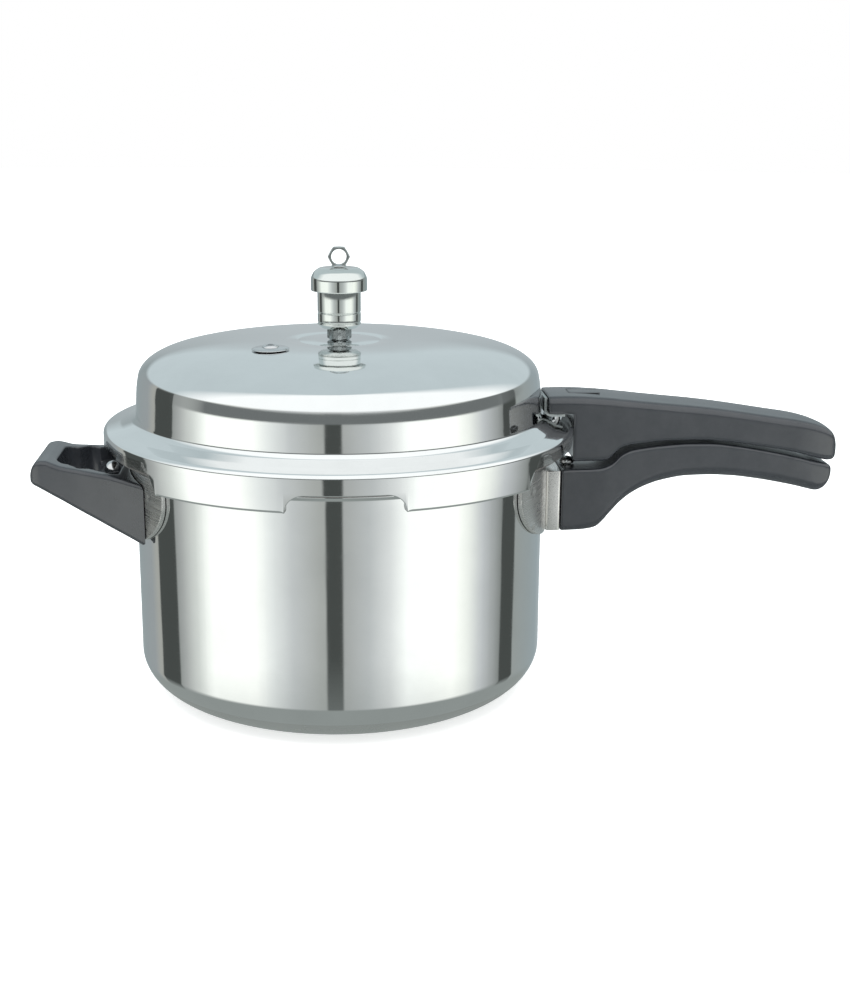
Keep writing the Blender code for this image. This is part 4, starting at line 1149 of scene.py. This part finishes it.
dark = None
for middle, half in GAPS:
    off = maths(nodes, links, "ABSOLUTE", maths(nodes, links, "SUBTRACT", bearing, middle))
    gap = mapped(nodes, links, off, 1.0, 0.0, half - 0.6, half + 0.6)
    dark = gap if dark is None else maths(nodes, links, "MAXIMUM", dark, gap)
dark = maths(nodes, links, "MULTIPLY", dark, mapped(nodes, links, height, 1.0, 0.0, *GAP_FADE))
walls = mixed(dark, ramp(bearing, -180, 180, CLOTH), GAP_DARK)
from_front = maths(nodes, links, "ABSOLUTE", maths(nodes, links, "SUBTRACT", bearing, FRONT_MIDDLE))
behind = mapped(nodes, links, from_front, 0.0, 1.0, *FRONT_END)
roof = mixed(behind, FRONT_ROOF, BACK_ROOF)
room = mixed(mapped(nodes, links, height, 0.0, 1.0, *ROOF_FADE), walls, roof)
band = maths(nodes, links, "MULTIPLY", mapped(nodes, links, height, 0.0, 1.0, *LINE_BOTTOM),
             mapped(nodes, links, height, 1.0, 0.0, *LINE_TOP))
band = maths(nodes, links, "MULTIPLY", band, mapped(nodes, links, behind, 1.0, 0.0, 0.0, 1.0))
room = mixed(band, room, HORIZON)
room = mixed(mapped(nodes, links, height, 1.0, 0.0, *GROUND_FADE), room, GROUND)
seen = nodes.new("ShaderNodeLightPath").outputs["Is Camera Ray"]
links.new(mixed(seen, room, (1.0, 1.0, 1.0)), nodes["Background"].inputs["Color"])
nodes["Background"].inputs["Strength"].default_value = 1.0
print("room with gaps at bearings", [g[0] for g in GAPS])

# %% Lay the floor
bm = bmesh.new()
bmesh.ops.create_circle(bm, cap_ends=True, segments=96, radius=6.0)
floor = bpy.data.objects.new("floor", bpy.data.meshes.new("floor"))
bm.to_mesh(floor.data)
bm.free()
bpy.context.scene.collection.objects.link(floor)
floor.location.z = -0.0005
# A faint glow of its own keeps the floor as pale as the room, even under the pot.
floor_finish = new_finish("pale_floor", (0.9, 0.9, 0.9), 0.0, 0.8, Emission_Color=(1.0, 1.0, 1.0, 1.0),
                          Emission_Strength=0.55)
floor.data.materials.append(floor_finish[0])
floor.visible_glossy = False
floor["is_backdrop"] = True


def soft_lamp(name, place, aim, size, power):
    lamp = bpy.data.lights.new(name, "AREA")
    lamp.shape = "RECTANGLE"
    lamp.size, lamp.size_y = size
    lamp.energy = power
    holder = bpy.data.objects.new(name, lamp)
    holder.location = place
    holder.rotation_euler = (Vector(aim) - Vector(place)).to_track_quat("-Z", "Y").to_euler()
    bpy.context.scene.collection.objects.link(holder)
    return holder


lamp = soft_lamp("top_cloth", (-0.1, -0.2, 2.2), (0, 0, 0.0), (3.0, 3.0), 60.0)
lamp.visible_glossy = False
print("floor laid, lamp hung")

# %% [markdown]
# ## The camera
#
# The camera stands a little to the left of the pot's middle and looks slightly down, with a lens long enough
# to keep the two rims from bowing.  Its place is measured from the pot's axis.

# %% Set the camera
camera = bpy.data.objects.new("camera", bpy.data.cameras.new("camera"))
bpy.context.scene.collection.objects.link(camera)
YAW, DOWN, ROLL = radians(4.347), 0.2571, 0.0068
PLACE = (-0.01576, -0.81942, 0.31819)
ahead = Vector((sin(YAW) * cos(DOWN), cos(YAW) * cos(DOWN), -sin(DOWN)))
level = Vector((cos(YAW), -sin(YAW), 0))
over = level.cross(ahead)
across = level * cos(ROLL) + over * sin(ROLL)
upward = over * cos(ROLL) - level * sin(ROLL)
turned_by = Matrix((across, upward, -ahead)).transposed()
camera.matrix_world = Matrix.Translation(PLACE) @ turned_by.to_4x4()
camera.data.sensor_width = 36.0
camera.data.lens = 55.67
camera.data.clip_start = 0.01
bpy.context.scene.camera = camera
bpy.context.scene.view_settings.view_transform = "Standard"
print("camera looks down", round(degrees(DOWN), 1), "degrees")

# %% [markdown]
# ## Last look
#
# The fine skin has to fit in the model's own box, so both boxes are written down side by side.

# %% Compare the boxes and finish
skin_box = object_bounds()
for name, (low, high) in (("model", cad_box), ("skin", skin_box)):
    print(name, "box", [round(v / MM, 2) for v in low], [round(v / MM, 2) for v in high])
